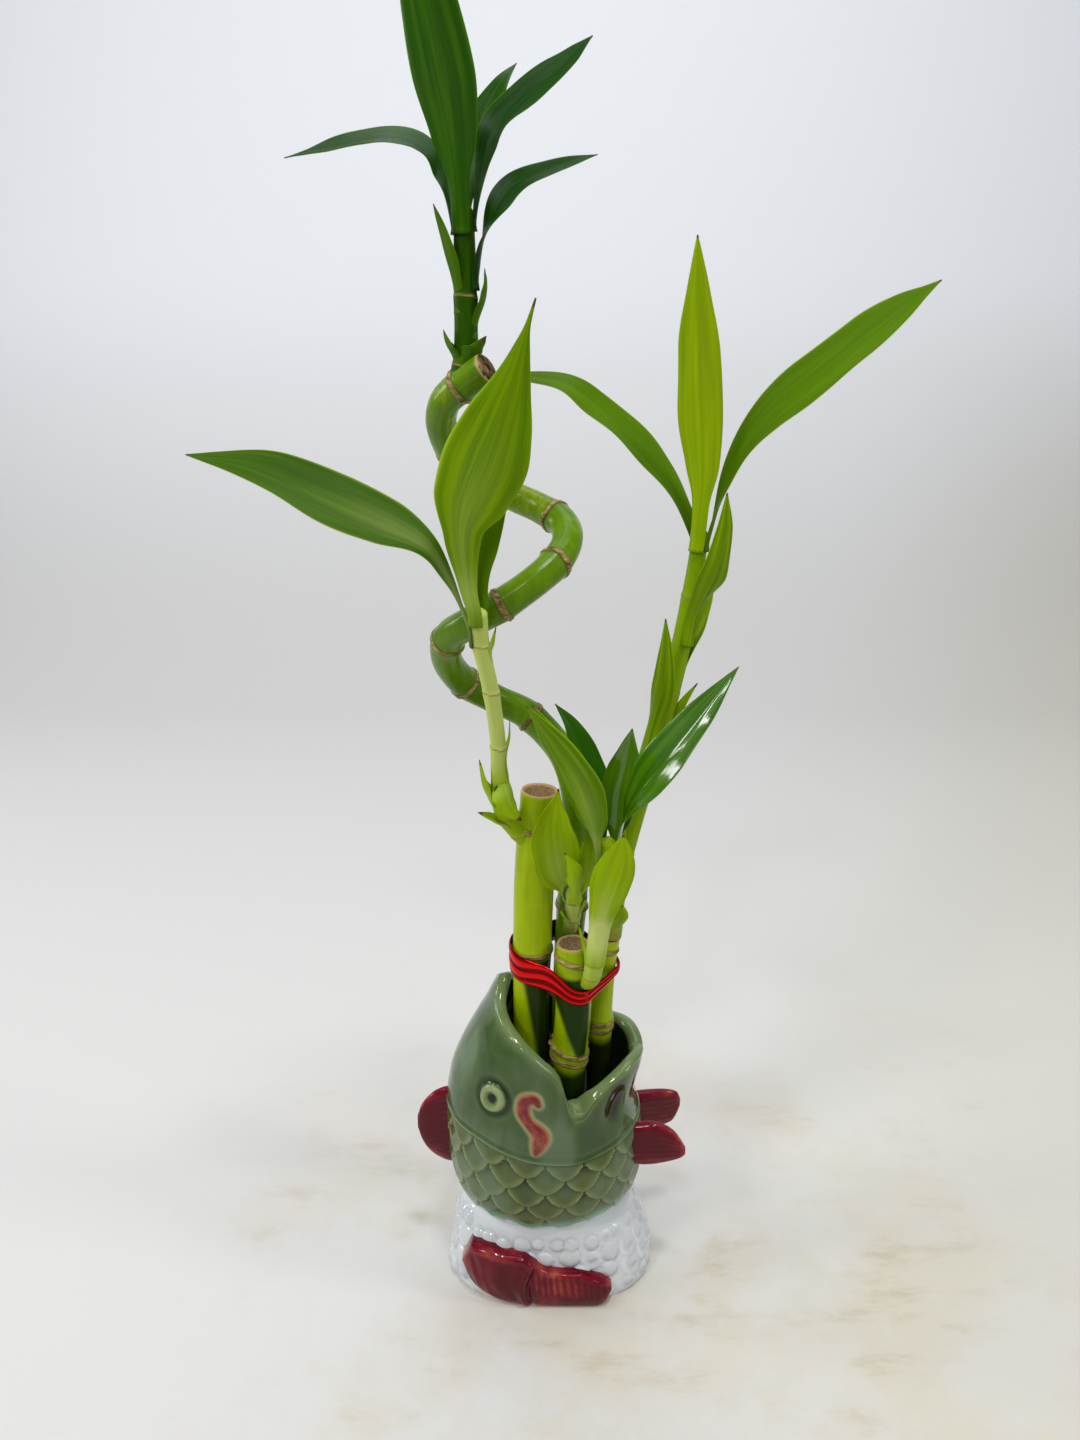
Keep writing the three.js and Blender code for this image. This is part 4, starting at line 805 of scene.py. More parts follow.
def nubs(cane):
    # dry root nubs round the ring that stands above the vase's mouth: degrees and size
    made = []
    x, y, z = cane["scars"][1]
    radius = cane["radius"][2][1]
    for degrees, size in ((150, 1.3), (186, 1.9), (214, 1.6), (243, 0.9), (20, 1), (75, 1.2)):
        right, back = np.cos(radians(degrees)), np.sin(radians(degrees))
        spots = [(x + (radius + out) * right, y + (radius + out) * back, z + up - cane["lean"] * right)
                 for out, up in ((-1.2, 0.6), (0.2, 1.2), (0.8, 2.2))]
        made.append(tube(spots, [(0, size), (0.6, size * 0.85), (1, size * 0.3)], 1, steps=10))
    return made


def caneFinish(name, bright, side, dark, gloss):
    # waxy skin, bark on the node rings, pith on the cut
    skin = Finish(name, Roughness=0.3, IOR=1.4, Specular_IOR_Level=gloss)
    where, scar, cut = skin.place(), skin.mark("scar"), skin.mark("cut")
    streaks = skin.noise(skin.stretched(where, (1, 1, 0.12)), 420, 4)
    cloud = skin.noise(where, 34, 3)
    colour = skin.ramp(cloud * 0.75 + streaks * 0.25, (0.3, side), (0.54, bright), (0.8, rgb(186, 204, 24)))
    colour = skin.paint(colour, ("shade", 0.97, dark))
    specks = skin.ease(skin.noise(where, 700, 2), 0.71, 0.76)
    colour = skin.blend(specks * 0.45, colour, rgb(60, 62, 20))
    fray = skin.noise(skin.stretched(where, (0.25, 0.25, 1)), 900, 3)
    bark = skin.ramp(fray, (0.34, rgb(92, 66, 34)), (0.58, rgb(170, 140, 90)), (0.8, rgb(214, 192, 140)))
    colour = skin.blend(skin.ease(scar, 0.24, 0.46), colour, bark)
    shadow = skin.ease(scar, 0.02, 0.14) * (1 - skin.ease(scar, 0.24, 0.4))
    colour = skin.blend(shadow * 0.55, colour, rgb(62, 74, 16))
    fibre = skin.noise(where, 1500, 5, 0.7)
    pith = skin.ramp(fibre, (0.34, rgb(52, 36, 22)), (0.48, rgb(122, 94, 62)), (0.7, rgb(176, 148, 108)))
    colour = skin.paint(colour, ("cut", 1, pith), ("rim", 0.85, rgb(196, 162, 112)))
    dry = skin.ease(scar + cut, 0.1, 0.5)
    bump = skin.bump(streaks + fibre * dry * 3, 0.16, 0.0004)
    return skin.feed(Base_Color=colour, Roughness=dry * 0.5 + 0.24, Normal=bump)


# bright side, darker side, shade and gloss of each cane's skin
greens = {
    "left": (rgb(164, 186, 2), rgb(122, 150, 1), rgb(24, 46, 0), 0.16),
    "front": (rgb(152, 176, 4), rgb(110, 142, 2), rgb(14, 44, 0), 0.16),
    "spiral": (rgb(100, 138, 1), rgb(76, 112, 1), rgb(20, 38, 1), 0.3),
    "right": (rgb(176, 196, 8), rgb(138, 164, 4), rgb(16, 26, 4), 0.16),
}
for name, cane in canes.items():
    body = joined([caneBody(name, cane)] + roots(cane) + (nubs(cane) if name == "front" else []))
    piece(name + "_cane", body, caneFinish(name + " cane skin", *greens[name]), ["cane_" + name])
print("canes done")


# water, filling the vase to below the notch of its mouth and sunk a little between the canes
water = {
    "columns": 120, "past": 0.4, "aboveFloor": 0.35,
    "dips": ((0.2, 0.3), (0.5, 0.3), (0.8, 0.25), (0.94, 0.12)),  # share of the way out and depth
}


def waterBody():
    angle = ringAngles(water["columns"])
    levels = [h + (water["aboveFloor"] if h == vase["floor"] else 0) for h in hollowHeights]
    sides = [vaseAt(angle, np.float64(level), -float(along(vaseWall, h)) - water["past"])
             for h, level in zip(hollowHeights, levels)]
    middle = np.array([0, 0, vase["water"]])
    surface = [middle + (sides[0] - middle) * share - [0, 0, dip] for share, dip in water["dips"]]
    start = middle - [0, 0, water["dips"][0][1]]
    points, faces = closedTube(np.array(surface + sides), start, [0, 0, levels[-1]])
    return points, faces, {}


clear = Finish("water", Roughness=0.02, IOR=1.33, Transmission_Weight=0.9, Base_Color=(0.75, 0.82, 0.76, 1))
piece("water", waterBody(), clear.material, ["water"])


# tie: strands of crumpled red foil, gathered in front and spread at the left
tie = {
    "count": 420, "rows": 30, "thickness": 1.1, "strands": 2.4, "crumple": 0.015, "past": 0.8, "lift": 2.8,
    "spots": 72, "level": 151.9, "tilt": (-0.266, 0.268),
    "halfWidth": [(-14, 6.1), (0, 5.5), (8, 4.2), (15, 3), (26, 2), (34, 1.5)],  # along x
}


def tieLevel(x, y):
    return tie["level"] + tie["tilt"][0] * x + tie["tilt"][1] * y


def caneOutline():
    # the tight outline of the four canes where the tie crosses them
    spots = []
    for cane in canes.values():
        path = Path(cane["path"])
        share = path.atHeight(tieLevel(*cane["path"][0][:2]))
        at, reach = path.at(share), float(along(cane["radius"], share)) + tie["past"]
        turns = np.linspace(0, 2 * np.pi, tie["spots"])
        spots += [(at[0] + reach * np.cos(a), at[1] + reach * np.sin(a)) for a in turns]
    spots = sorted(spots)

    def half(row):
        chain = []
        for spot in row:
            while len(chain) > 1:
                (ax, ay), (bx, by) = chain[-2:]
                if (bx - ax) * (spot[1] - ay) - (by - ay) * (spot[0] - ax) > 0:
                    break
                chain.pop()
            chain.append(spot)
        return chain[:-1]
    return np.array(half(spots) + half(spots[::-1]))


def tieBody():
    hull = caneOutline()
    loop = np.vstack([hull, hull[:1]])
    run = np.concatenate([[0], np.cumsum(np.linalg.norm(np.diff(loop, axis=0), axis=1))])
    place = np.linspace(0, run[-1], tie["count"], endpoint=False)
    inner = np.stack([np.interp(place, run, loop[:, k]) for k in (0, 1)], -1)
    forward = unit(np.roll(inner, -2, 0) - np.roll(inner, 2, 0))
    out = np.stack([forward[:, 1], -forward[:, 0]], -1)
    half = along(tie["halfWidth"], inner[:, 0])
    lift = tie["lift"] * bell(inner[:, 0] - 2, 8) * step(-8, -14, inner[:, 1])
    turn = (2 * np.pi * place / run[-1])[:, None]
    up = np.linspace(-1, 1, tie["rows"])[None]
    folds = up * tie["strands"] / 2 * np.pi + 0.9 * np.sin(2 * turn + 1) + 0.4 * np.sin(5 * turn)
    folds = np.abs(np.cos(folds)) ** 0.8
    crumple = np.sin(9 * turn) * np.sin(2.2 * up + 3) + np.sin(13 * turn + 4 * up)
    shift = tie["thickness"] * (0.35 + 0.62 * folds) * (1 - 0.5 * up ** 8)
    shift = shift + tie["crumple"] * crumple * folds * 0.4
    outer = inner[:, None] + out[:, None] * np.clip(shift, 0.25, 1.3)[..., None]
    level = tieLevel(inner[:, 0], inner[:, 1]) + lift
    height = level[:, None] + up * half[:, None] + 0.15 * np.sin(7 * turn) * up
    face = np.concatenate([outer, height[..., None]], -1)
    back = [np.column_stack([inner, level + s * half * 0.96]) for s in (1, -1)]
    points = np.concatenate([face, np.array(back).transpose(1, 0, 2)], 1)
    rows, count = points.shape[:2]
    faces = gridFaces(rows, count)
    first = (rows - 1) * count
    faces += [[first + j, first + (j + 1) % count, (j + 1) % count, j] for j in range(count)]
    # how far each point stands out on its fold, for painting light and shade on the foil
    fold = np.hstack([folds, np.zeros((rows, 2))])
    return points.reshape(-1, 3), faces, {"fold": fold.ravel()}


foil = Finish("red foil", Metallic=0.75, Roughness=0.2)
where = foil.place()
# painted light and shade: the foil is painted lighter on the ridges of its folds and darker in its creases,
# varied a little at random
painted_fold_light = foil.mark("fold") + foil.noise(where, 70, 1) * 0.25
colour = foil.ramp(painted_fold_light, (0.15, rgb(62, 0, 4)), (0.6, rgb(170, 0, 6)), (1.1, rgb(222, 4, 8)))
foilSkin = foil.feed(Base_Color=colour, Normal=foil.bump(foil.noise(where, 100, 1), 0.06, 0.0006))
piece("tie", tieBody(), foilSkin, ["tie"])
print("tie and water done")


# shoots: stems of nested sheaths with small bracts, and the leaves that stand on them
# pale: how blanched; blanched: from where to where along the stem; papery: length of the dry foot,
# below zero for none; joints: heights of the rings between the sheaths
# the tone: how light a stem's green is, partly its own green and partly painted light
shoots = {
    "left": {
        "path": [
            (-3.5, -5, 203), (-10, -8, 211), (-16, -11.5, 222), (-17.5, -14, 237), (-18, -17, 254),
            (-20, -21, 273), (-23, -25, 291), (-24, -28, 305)],
        "radius": [(0, 3.6), (0.12, 4.4), (0.25, 4), (0.45, 2.9), (0.8, 3), (1, 3.6)],
        "pale": 0.95, "blanched": (44, 130), "tone": 0.8, "papery": 1.5,
        "joints": (211, 219, 230, 249, 272, 290),
    },
    "front": {
        "path": [
            (13.4, -14, 146.5), (17.2, -18.7, 150), (19, -20.8, 157), (21, -21, 176), (22, -20.5, 192),
            (23, -20, 206), (24, -20, 214)],
        "radius": [(0, 2.6), (0.12, 3.4), (0.3, 4), (0.5, 4.1), (0.8, 3.9), (1, 3.4)],
        "pale": 0.6, "blanched": (14, 60), "tone": 0.75, "papery": -9, "joints": (154, 163, 188, 203),
    },
    "middle": {
        "path": [(10, 6, 158), (10.6, 0, 165), (11, -5, 172), (11, -8, 180), (10.5, -10, 187)],
        "radius": [(0, 2.6), (0.3, 3.2), (1, 3.1)],
        "pale": 0.8, "blanched": (6, 60), "tone": 0.6, "papery": -9, "joints": (166, 172, 180),
    },
    "right": {
        "path": [
            (26.6, 2, 158.4), (29, 3, 184), (34.4, 5, 208), (43, 8, 240), (51, 10, 275), (56, 12, 306),
            (58, 12, 326)],
        "radius": [(0, 4.9), (0.2, 4.6), (0.5, 4.2), (0.8, 3.6), (1, 3)],
        "pale": 0.3, "blanched": (8, 30), "tone": 0.5, "papery": 5, "joints": (164, 180, 196, 224, 262, 300),
    },
    "top": {
        "path": [
            (-29, -6, 378), (-27.5, -6, 386), (-27, -6, 396), (-27, -6, 411), (-27, -6, 426),
            (-27.5, -6, 434)],
        "radius": [(0, 4.2), (0.25, 4), (0.6, 3.8), (1, 3.2)],
        "pale": 0.0, "blanched": (0, 10), "tone": 0.3, "papery": -9, "joints": (383, 405),
    },
}
# a leaf's width along its length, as a share of the widest
outlines = {
    "blade": [
        (0, 0.42), (0.12, 0.38), (0.3, 0.78), (0.48, 1), (0.66, 0.9), (0.84, 0.5), (0.95, 0.18), (1, 0.02)],
    "stalked": [
        (0, 0.3), (0.12, 0.24), (0.24, 0.3), (0.42, 0.88), (0.56, 1), (0.74, 0.78), (0.9, 0.32), (1, 0.02)],
    "spoon": [
        (0, 0.3), (0.1, 0.32), (0.29, 0.46), (0.4, 0.86), (0.52, 1), (0.64, 0.8), (0.76, 0.46), (0.85, 0.22),
        (0.93, 0.06), (1, 0.02)],
    "broad": [
        (0, 0.3), (0.14, 0.26), (0.3, 0.72), (0.46, 1), (0.62, 0.95), (0.78, 0.68), (0.9, 0.26), (1, 0.02)],
    "oar": [
        (0, 0.3), (0.12, 0.24), (0.24, 0.34), (0.42, 0.78), (0.58, 1), (0.76, 0.93), (0.89, 0.56),
        (0.96, 0.2), (1, 0.02)],
    "late": [
        (0, 0.5), (0.3, 0.62), (0.45, 0.74), (0.58, 0.94), (0.68, 1), (0.8, 0.82), (0.92, 0.4), (1, 0.02)],
    "sheath": [(0, 1), (0.35, 0.95), (0.6, 0.75), (0.82, 0.42), (1, 0.04)],
}
leafLook = {
    "along": 84, "across": 20, "thickness": 0.62, "crease": 0.3, "wave": 0.45, "veins": 0.05, "gap": 0.42,
}
stemLook = {"sides": 44, "step": 0.7, "ribs": 0.03, "nest": 0.28, "scar": 0.16}
for shoot in shoots.values():
    shoot["curve"] = Path(shoot["path"])


# a leaf's values, in this order, and those that most leaves share
# the tone: how light a leaf's green is, partly its own green and partly painted light, lighter where light
# shines through the leaf
leafParts = ("side", "low", "hold", "wrap", "width", "outline", "tone", "pale", "face", "spine")
leafUsual = {"fold": 34, "opening": 0.22, "dry": 1, "sunk": 0}


def leaf(*values, **unusual):
    # side: degrees round the stem from +X; low: height of its foot; hold: how far up it hugs the stem;
    # wrap: degrees of the stem that it hugs; face: where its upper side looks; fold: the blade's bend;
    # opening: share of its length in which it opens; dry: length of the dry tip; sunk: depth in the stem
    return {**leafUsual, **dict(zip(leafParts, values)), **unusual}


def leafSheet(shoot, leaf):
    # the base hugs the stem, then the blade opens out along its spine; two sheets make its faces
    curve = shoot["curve"]
    side, wrap = radians(leaf["side"]), radians(leaf["wrap"])
    out = np.array([np.cos(side), np.sin(side), 0])

    def hug(height):
        share = curve.atHeight(height)
        reach = float(along(shoot["radius"], share)) + leafLook["gap"] - leaf["sunk"]
        reach += leafLook["thickness"] / 2
        return curve.at(share) + out * reach, reach

    foot, footReach = hug(leaf["low"])
    let, _ = hug(leaf["low"] + leaf["hold"])
    spine = Path([foot, let, *leaf["spine"]])
    held = np.linalg.norm(let - foot) / spine.length
    place = np.linspace(0, 1, leafLook["along"])[:, None]
    centre, tangent = spine.at(place[:, 0]), spine.tangent(place[:, 0])
    opened = step(held, min(0.9, held + leaf["opening"]), place)
    facing = -out * (1 - opened) + unit(np.array(leaf["face"], float)) * opened
    upper = unit(facing - tangent * (facing * tangent).sum(-1, keepdims=True))
    across = np.cross(tangent, upper)
    bend = wrap + (radians(leaf["fold"]) - wrap) * opened
    hugging = wrap * footReach
    blade = leaf["width"] * along(outlines[leaf["outline"]], place)
    width = np.maximum(0.5, hugging + (blade - hugging) * opened)
    radius = width / bend
    hub = centre + upper * radius
    s = np.linspace(-0.5, 0.5, leafLook["across"])
    turn = bend * s
    thick = leafLook["thickness"] * (1 - 0.75 * np.abs(2 * s) ** 4) * np.clip(width / 3, 0.5, 1)
    spread = np.clip(width / 14, 0, 1) * opened
    crease = leafLook["crease"] * np.exp(-(np.abs(s) / 0.07) ** 1.4) * spread
    phase, turns = chance.uniform(0, 6, 2), chance.uniform(2.2, 3.6)
    wave = np.sin(turns * 2 * np.pi * place + np.where(s < 0, phase[0], phase[1]))
    wave = leafLook["wave"] * wave * (2 * np.abs(s)) ** 2 * spread
    veins = leafLook["veins"] * np.cos(s * 2 * np.pi * 9) * spread
    sheets = []
    for half, flip in ((-0.5, 1), (0.5, -1)):
        reach = radius + crease + wave + veins + half * thick
        sheet = hub[:, None] + across[:, None] * (reach * np.sin(turn))[..., None]
        sheets.append((sheet - upper[:, None] * (reach * np.cos(turn))[..., None])[:, ::flip])
    points = np.concatenate(sheets, 1)
    rows, columns = points.shape[:2]
    faces = gridFaces(rows, columns)
    for first in (0, (rows - 1) * columns):
        for j in range(leafLook["across"] - 1):
            quad = [first + j, first + j + 1, first + columns - 2 - j, first + columns - 1 - j]
            faces.append(quad if first else quad[::-1])
    whole = np.ones((rows, columns))
    marks = {
        "across": whole * np.concatenate([2 * s, 2 * s[::-1]]), "place": whole * place,
        "span": whole * place * spine.length, "base": whole * (1 - opened), "tone": whole * leaf["tone"],
        "pale": whole * leaf["pale"] * step(-2, 14, place * spine.length),
        "dry": whole * step(1 - 1.6 / spine.length * leaf["dry"], 1, place),
    }
    return points.reshape(-1, 3), faces, {name: values.ravel() for name, values in marks.items()}


def bareStem(shoot):
    # rings at the joints, each sheath standing out a little over the next
    curve, sides = shoot["curve"], stemLook["sides"]
    share = np.linspace(0, 1, int(curve.length / stemLook["step"]))
    place = share * curve.length
    turn = ringAngles(sides)
    full = along(shoot["radius"], share)
    radius = np.minimum(full, full * np.sqrt(step(curve.length + 0.1, curve.length - 3, place) + 0.05))
    scar, nest = np.zeros((len(share), sides)), np.zeros(len(share))
    for height in shoot["joints"]:
        at = curve.atHeight(height) * curve.length
        tilt = 0.8 * np.sin(turn + chance.uniform(0, 6))
        scar = np.maximum(scar, bell(place[:, None] - at + tilt, 0.5))
        nest += stemLook["nest"] * (step(-7, 0, place - at) - step(0, 1.2, place - at))
    scar = np.maximum(scar, 0.62 * step(shoot["papery"] + 2, shoot["papery"] - 2, place)[:, None])
    wave = stemLook["scar"] * scar + stemLook["ribs"] * np.sin(22 * turn)
    body = rings(curve, share, radius + nest * 0.6, sides, wave)
    points, faces = closedTube(body, curve.at(0), curve.at(1))
    low, high = shoot["blanched"]
    blanched = shoot["pale"] * step(low - 10, low + 6, place) * step(high + 10, high - 6, place)
    one = np.ones(len(points))
    marks = {
        "scar": withEnds(scar), "base": one, "place": one, "tone": one * shoot["tone"],
        "pale": withEnds(np.repeat(blanched, sides), 0, blanched[-1]),
        "across": withEnds(np.tile(np.sin(turn), len(share))),
        "span": withEnds(np.repeat(place, sides), 0, place[-1]),
    }
    return points, faces, marks


leaves = {
    "left": {
        "low": leaf(185, 290, 9, 80, 22, "stalked", 0.14, 0.3, (0.25, -0.75, 0.65), [
            (-34, -25, 314), (-41, -24, 325), (-55, -20, 332), (-75, -15, 340), (-99, -10, 350),
            (-126, -5, 354)]),
        "tall": leaf(-105, 298, 6, 80, 29, "spoon", 0.58, 0.25, (0.1, 0.95, 0.2), [
            (-27, -31, 314), (-27.8, -32, 334), (-19.5, -33, 356), (-11.5, -34.5, 378), (-6, -36, 396),
            (-3.5, -36, 404)], dry=3),
        "back": leaf(70, 298, 6, 70, 12, "blade", 0.5, 0, (-0.1, -0.95, 0.2), [
            (-21.5, -22.5, 320), (-18, -21.5, 346), (-13, -22, 370), (-9, -23, 388)]),
    },
    "front": {
        "wide": leaf(-95, 160, 14, 120, 16, "late", 0.82, 1, (0.1, 0.97, 0.2), [
            (22, -27, 187), (25, -28.5, 200), (27.5, -30, 211), (28.5, -31, 220)]),
        "left": leaf(205, 203, 5, 70, 18.5, "blade", 0.56, 0.35, (0.45, 0.75, 0.35), [
            (16.5, -25.5, 224), (11, -29, 241), (2, -31, 257), (-7, -31, 270)]),
        "inner": leaf(155, 206, 3, 22, 13, "blade", 0.6, 0, (0.45, 0.75, 0.35), [
            (17, -18.5, 224), (10, -20.5, 242), (1, -21, 257), (-5, -21, 267)]),
        "dark": leaf(106, 203, 5, 36, 12.5, "blade", 0.5, 0, (0.35, -0.85, 0.4), [
            (20.5, -12.5, 226), (15.5, -9.5, 241), (10, -8, 254), (3.5, -7.5, 263)]),
        "short": leaf(40, 203, 5, 52, 15, "blade", 0.8, 0, (-0.25, -0.9, 0.25), [
            (27.5, -16, 227), (30, -17.5, 243), (31.5, -21, 258)]),
        "right": leaf(-30, 203, 5, 66, 18, "blade", 0.62, 0, (-0.5, -0.6, 0.6), [
            (30, -26, 226), (39, -29.5, 244), (52, -33, 264), (66, -36, 286)], opening=0.4),
    },
    "middle": {
        "wide": leaf(165, 181, 2, 90, 20, "broad", 0.84, 0.6, (0.25, -0.9, 0.1), [
            (5.5, -15, 194), (3.5, -18.5, 205), (2.2, -19.5, 218), (4.8, -18, 233)], fold=60),
        "young": leaf(-72, 181, 2, 96, 8, "blade", 0.9, 0.5, (0, 0.95, 0.3), [
            (11.4, -19, 193), (10.6, -23.5, 202), (7, -25.5, 210)], fold=110),
        "right": leaf(34, 181, 2, 76, 10, "blade", 0.9, 0.5, (-0.5, -0.8, 0.2), [
            (16.8, -8, 193), (17.8, -9, 203), (18.4, -9, 214)]),
    },
    "right": {
        "tall": leaf(-120, 317, 6, 100, 16.5, "blade", 0.86, 0, (0.3, 0.9, 0.3), [
            (56.5, 7, 344), (54, 4, 370), (51.5, -1.5, 396), (49, -8.5, 424)]),
        "wide": leaf(-15, 317, 6, 84, 19.5, "oar", 0.4, 0, (-0.45, -0.65, 0.6), [
            (68.5, 12, 349), (80, 8, 367), (97, 0, 383), (113, -9, 398), (127, -17, 410)]),
        "arched": leaf(110, 317, 5, 84, 15.5, "blade", 0.36, 0, (0.35, -0.6, 0.7), [
            (49, 16, 337), (41, 18, 348), (30, 19, 359.5), (18, 20, 369), (5, 21, 377), (-18, 22, 380)]),
        "upright": leaf(-55, 281, 12, 96, 14, "sheath", 0.6, 0, (-0.3, 0.8, 0.2), [
            (62.5, 2.5, 311), (65, 1.5, 326), (65, 1, 340)], opening=0.3),
        "side": leaf(-140, 230, 18, 90, 13, "sheath", 0.6, 0, (0.5, 0.8, 0), [
            (44.5, 1, 267), (45, 0, 281), (44.5, -0.5, 294)], opening=0.3),
    },
    "top": {
        "tall": leaf(-105, 424, 5, 96, 20, "blade", 0.56, 0, (0.15, 0.8, 0.5), [
            (-29, -14, 448), (-31, -19.5, 464), (-34.5, -26.5, 482), (-38, -32, 498), (-41, -35.5, 514)]),
        "left": leaf(168, 424, 4, 60, 14.5, "broad", 0.2, 0, (0.1, -0.45, 0.9), [
            (-34.5, -5.5, 444), (-41, -6, 450.5), (-50, -7.5, 452.5), (-60, -9, 451), (-72, -10, 448.5),
            (-83, -11, 446)]),
        "right_low": leaf(-24, 407, 5, 60, 11, "blade", 0.15, 0, (-0.2, -0.65, 0.7), [
            (-20, -9, 424), (-12, -9.5, 437), (1, -10, 443), (16, -11, 447)], opening=0.4),
        "right_high": leaf(18, 425, 4, 62, 14, "oar", 0.2, 0, (-0.35, -0.7, 0.6), [
            (-20.5, -2.5, 446), (-17, -3, 456), (-8, -4, 464), (3, -6, 471), (14, -9, 480)]),
        "back": leaf(92, 425, 4, 60, 12, "blade", 0.3, 0, (-0.2, -0.8, 0.5), [
            (-25, 5, 447), (-21, 9.5, 460), (-15.5, 13, 471), (-10, 17, 478)]),
    },
}
# bracts grown onto each stem: side, low, hold, wrap, width, spine, face
bracts = {
    "left": [
        (-60, 231, 3, 170, 14, [(-13, -19.5, 226), (-9, -20.5, 221)], (-0.6, 0.5, -0.4)),
        (170, 220, 4, 120, 11, [(-23.5, -13.5, 232), (-25, -14, 243)], (0.9, 0.2, 0.2)),
        (200, 210, 3, 130, 11, [(-19, -12, 216.5), (-26, -13, 221)], (0.3, 0, 0.9)),
        (10, 236, 8, 90, 4.5, [(-13.6, -14, 252), (-13.4, -14.5, 259)], (-0.9, 0, 0)),
        (5, 270, 16, 120, 9, [(-18.6, -24.5, 291), (-17.6, -24.5, 297)], (-0.9, 0.2, 0)),
    ],
    "front": [
        (155, 153, 6, 76, 6, [(14.2, -19.5, 169), (12.6, -20, 177)], (0.8, 0.3, 0)),
        (25, 153, 4, 80, 5, [(24.2, -17, 163), (24.8, -16.6, 168)], (-0.8, 0, 0)),
    ],
    "middle": [
        (-150, 167, 4, 110, 6, [(6.4, -9.5, 175), (5.8, -10.5, 179)], (0.9, 0.3, 0)),
        (-20, 170, 3, 100, 5, [(15.4, -8, 178), (16.4, -9, 183)], (-0.8, 0.3, 0.2)),
    ],
    "right": [
        (-90, 160, 5, 170, 11, [(30.4, -3.8, 171), (30.2, -4.4, 177)], (0, 0.9, 0)),
        (-170, 196, 6, 130, 7, [(30.6, 2.5, 213), (31, 2, 222)], (0.9, 0.2, 0)),
        (5, 224, 8, 120, 9, [(49, 8, 245), (53, 8.5, 256), (59, 9, 266)], (-0.7, -0.5, 0.2)),
        (40, 262, 10, 110, 11, [(59, 15, 286), (63, 17, 298), (63, 17.5, 310)], (-0.7, -0.6, 0)),
    ],
    "top": [
        (-170, 383, 3, 120, 10, [(-33.6, -7.5, 391), (-34.5, -7.5, 395)], (0.9, 0.1, 0)),
        (-65, 382, 3, 160, 9, [(-22.6, -11, 389), (-20, -12, 393)], (-0.6, 0.6, 0.3)),
        (-5, 392, 5, 110, 9.5, [(-20.8, -6.5, 404), (-20, -6.5, 409), (-20.4, -6.5, 414)], (-0.9, 0, 0)),
        (-165, 400, 8, 130, 13, [(-33.2, -9, 420), (-36.5, -9.5, 433)], (0.8, 0.3, 0.3)),
    ],
}
bractLook = {"fold": 90, "opening": 0.4, "dry": 2, "sunk": 0.9}


def leafFinish(name, deep, mid, bright, rough, gloss=0.11, wax=0):
    # parallel veins, darker clouds along the middle, a thin light edge, a blanched foot and a dry tip; how
    # light the green is comes partly from painted light
    skin = Finish(
        name, Roughness=rough, IOR=1.38, Specular_IOR_Level=gloss, Coat_Weight=wax, Coat_Roughness=0.1)
    across, span, tone, base = (skin.mark(name) for name in ("across", "span", "tone", "base"))

    def grain(wide, long, scale, rough):
        sockets = {"X": across * wide, "Y": span * long, "Z": tone * 40}
        return skin.noise(skin.node("ShaderNodeCombineXYZ", None, sockets), scale, 3, rough)

    lines = grain(60, 0.035, 0.9, 0.6)
    value = grain(13, 0.05, 0.35, 0.5) * 0.36 + lines * 0.2 + tone * 0.72 - 0.2
    colour = skin.ramp(value, (0.12, deep), (0.45, mid), (0.8, bright))
    edge = skin.ease(abs(across), 0.93, 0.995)
    colour = skin.blend(edge * (1 - base) * 0.4, colour, bright)
    streak = (1 - skin.ease(abs(across), 0.05, 0.75)) * skin.ease(skin.mark("place"), 0.72, 0.3)
    foot = (skin.ease(base, 0.02, 0.95) + streak * 0.6) * skin.mark("pale")
    colour = skin.blend(foot * (lines * 0.5 + 0.62), colour, rgb(200, 212, 118))
    colour = skin.blend(skin.ease(skin.mark("scar"), 0.35, 0.8) * 0.8, colour, rgb(160, 132, 74))
    colour = skin.blend(skin.ease(skin.mark("dry"), 0.1, 0.6), colour, rgb(96, 74, 34))
    bump = skin.bump(lines, 0.22, 0.0005)
    return skin.feed(Base_Color=colour, Roughness=lines * 0.16 + (rough - 0.06), Normal=bump)


darkGreens = (rgb(12, 50, 0), rgb(42, 92, 0), rgb(104, 152, 4))
leafSkin = leafFinish("leaf", rgb(48, 84, 0), rgb(92, 130, 0), rgb(170, 200, 6), 0.34)
darkSkin = leafFinish("dark leaf", *darkGreens, 0.22, 0.2)
waxySkin = leafFinish("waxy leaf", *darkGreens, 0.22, 0.2, 1)
stemSkin = leafFinish("stem", rgb(80, 116, 1), rgb(130, 164, 4), rgb(176, 202, 20), 0.4)
topSkin = leafFinish("dark stem", rgb(28, 64, 0), rgb(58, 98, 0), rgb(100, 140, 6), 0.36)
leafSkins = {"front_dark": darkSkin, "front_short": waxySkin, "front_right": waxySkin}

for name, shoot in shoots.items():
    parts = [bareStem(shoot)]
    for *place, spine, face in bracts[name]:
        bract = leaf(*place, "sheath", 0.6, shoot["pale"] * 0.5, face, spine, **bractLook)
        parts.append(leafSheet(shoot, bract))
    piece(name + "_stem", joined(parts), topSkin if name == "top" else stemSkin, ["stem_" + name])
    for key, spec in leaves[name].items():
        skin = leafSkins.get(f"{name}_{key}", darkSkin if name == "top" else leafSkin)
        piece(f"{name}_leaf_{key}", leafSheet(shoot, spec), skin, [f"leaf_{name}_{key}"])
print("shoots and leaves done")


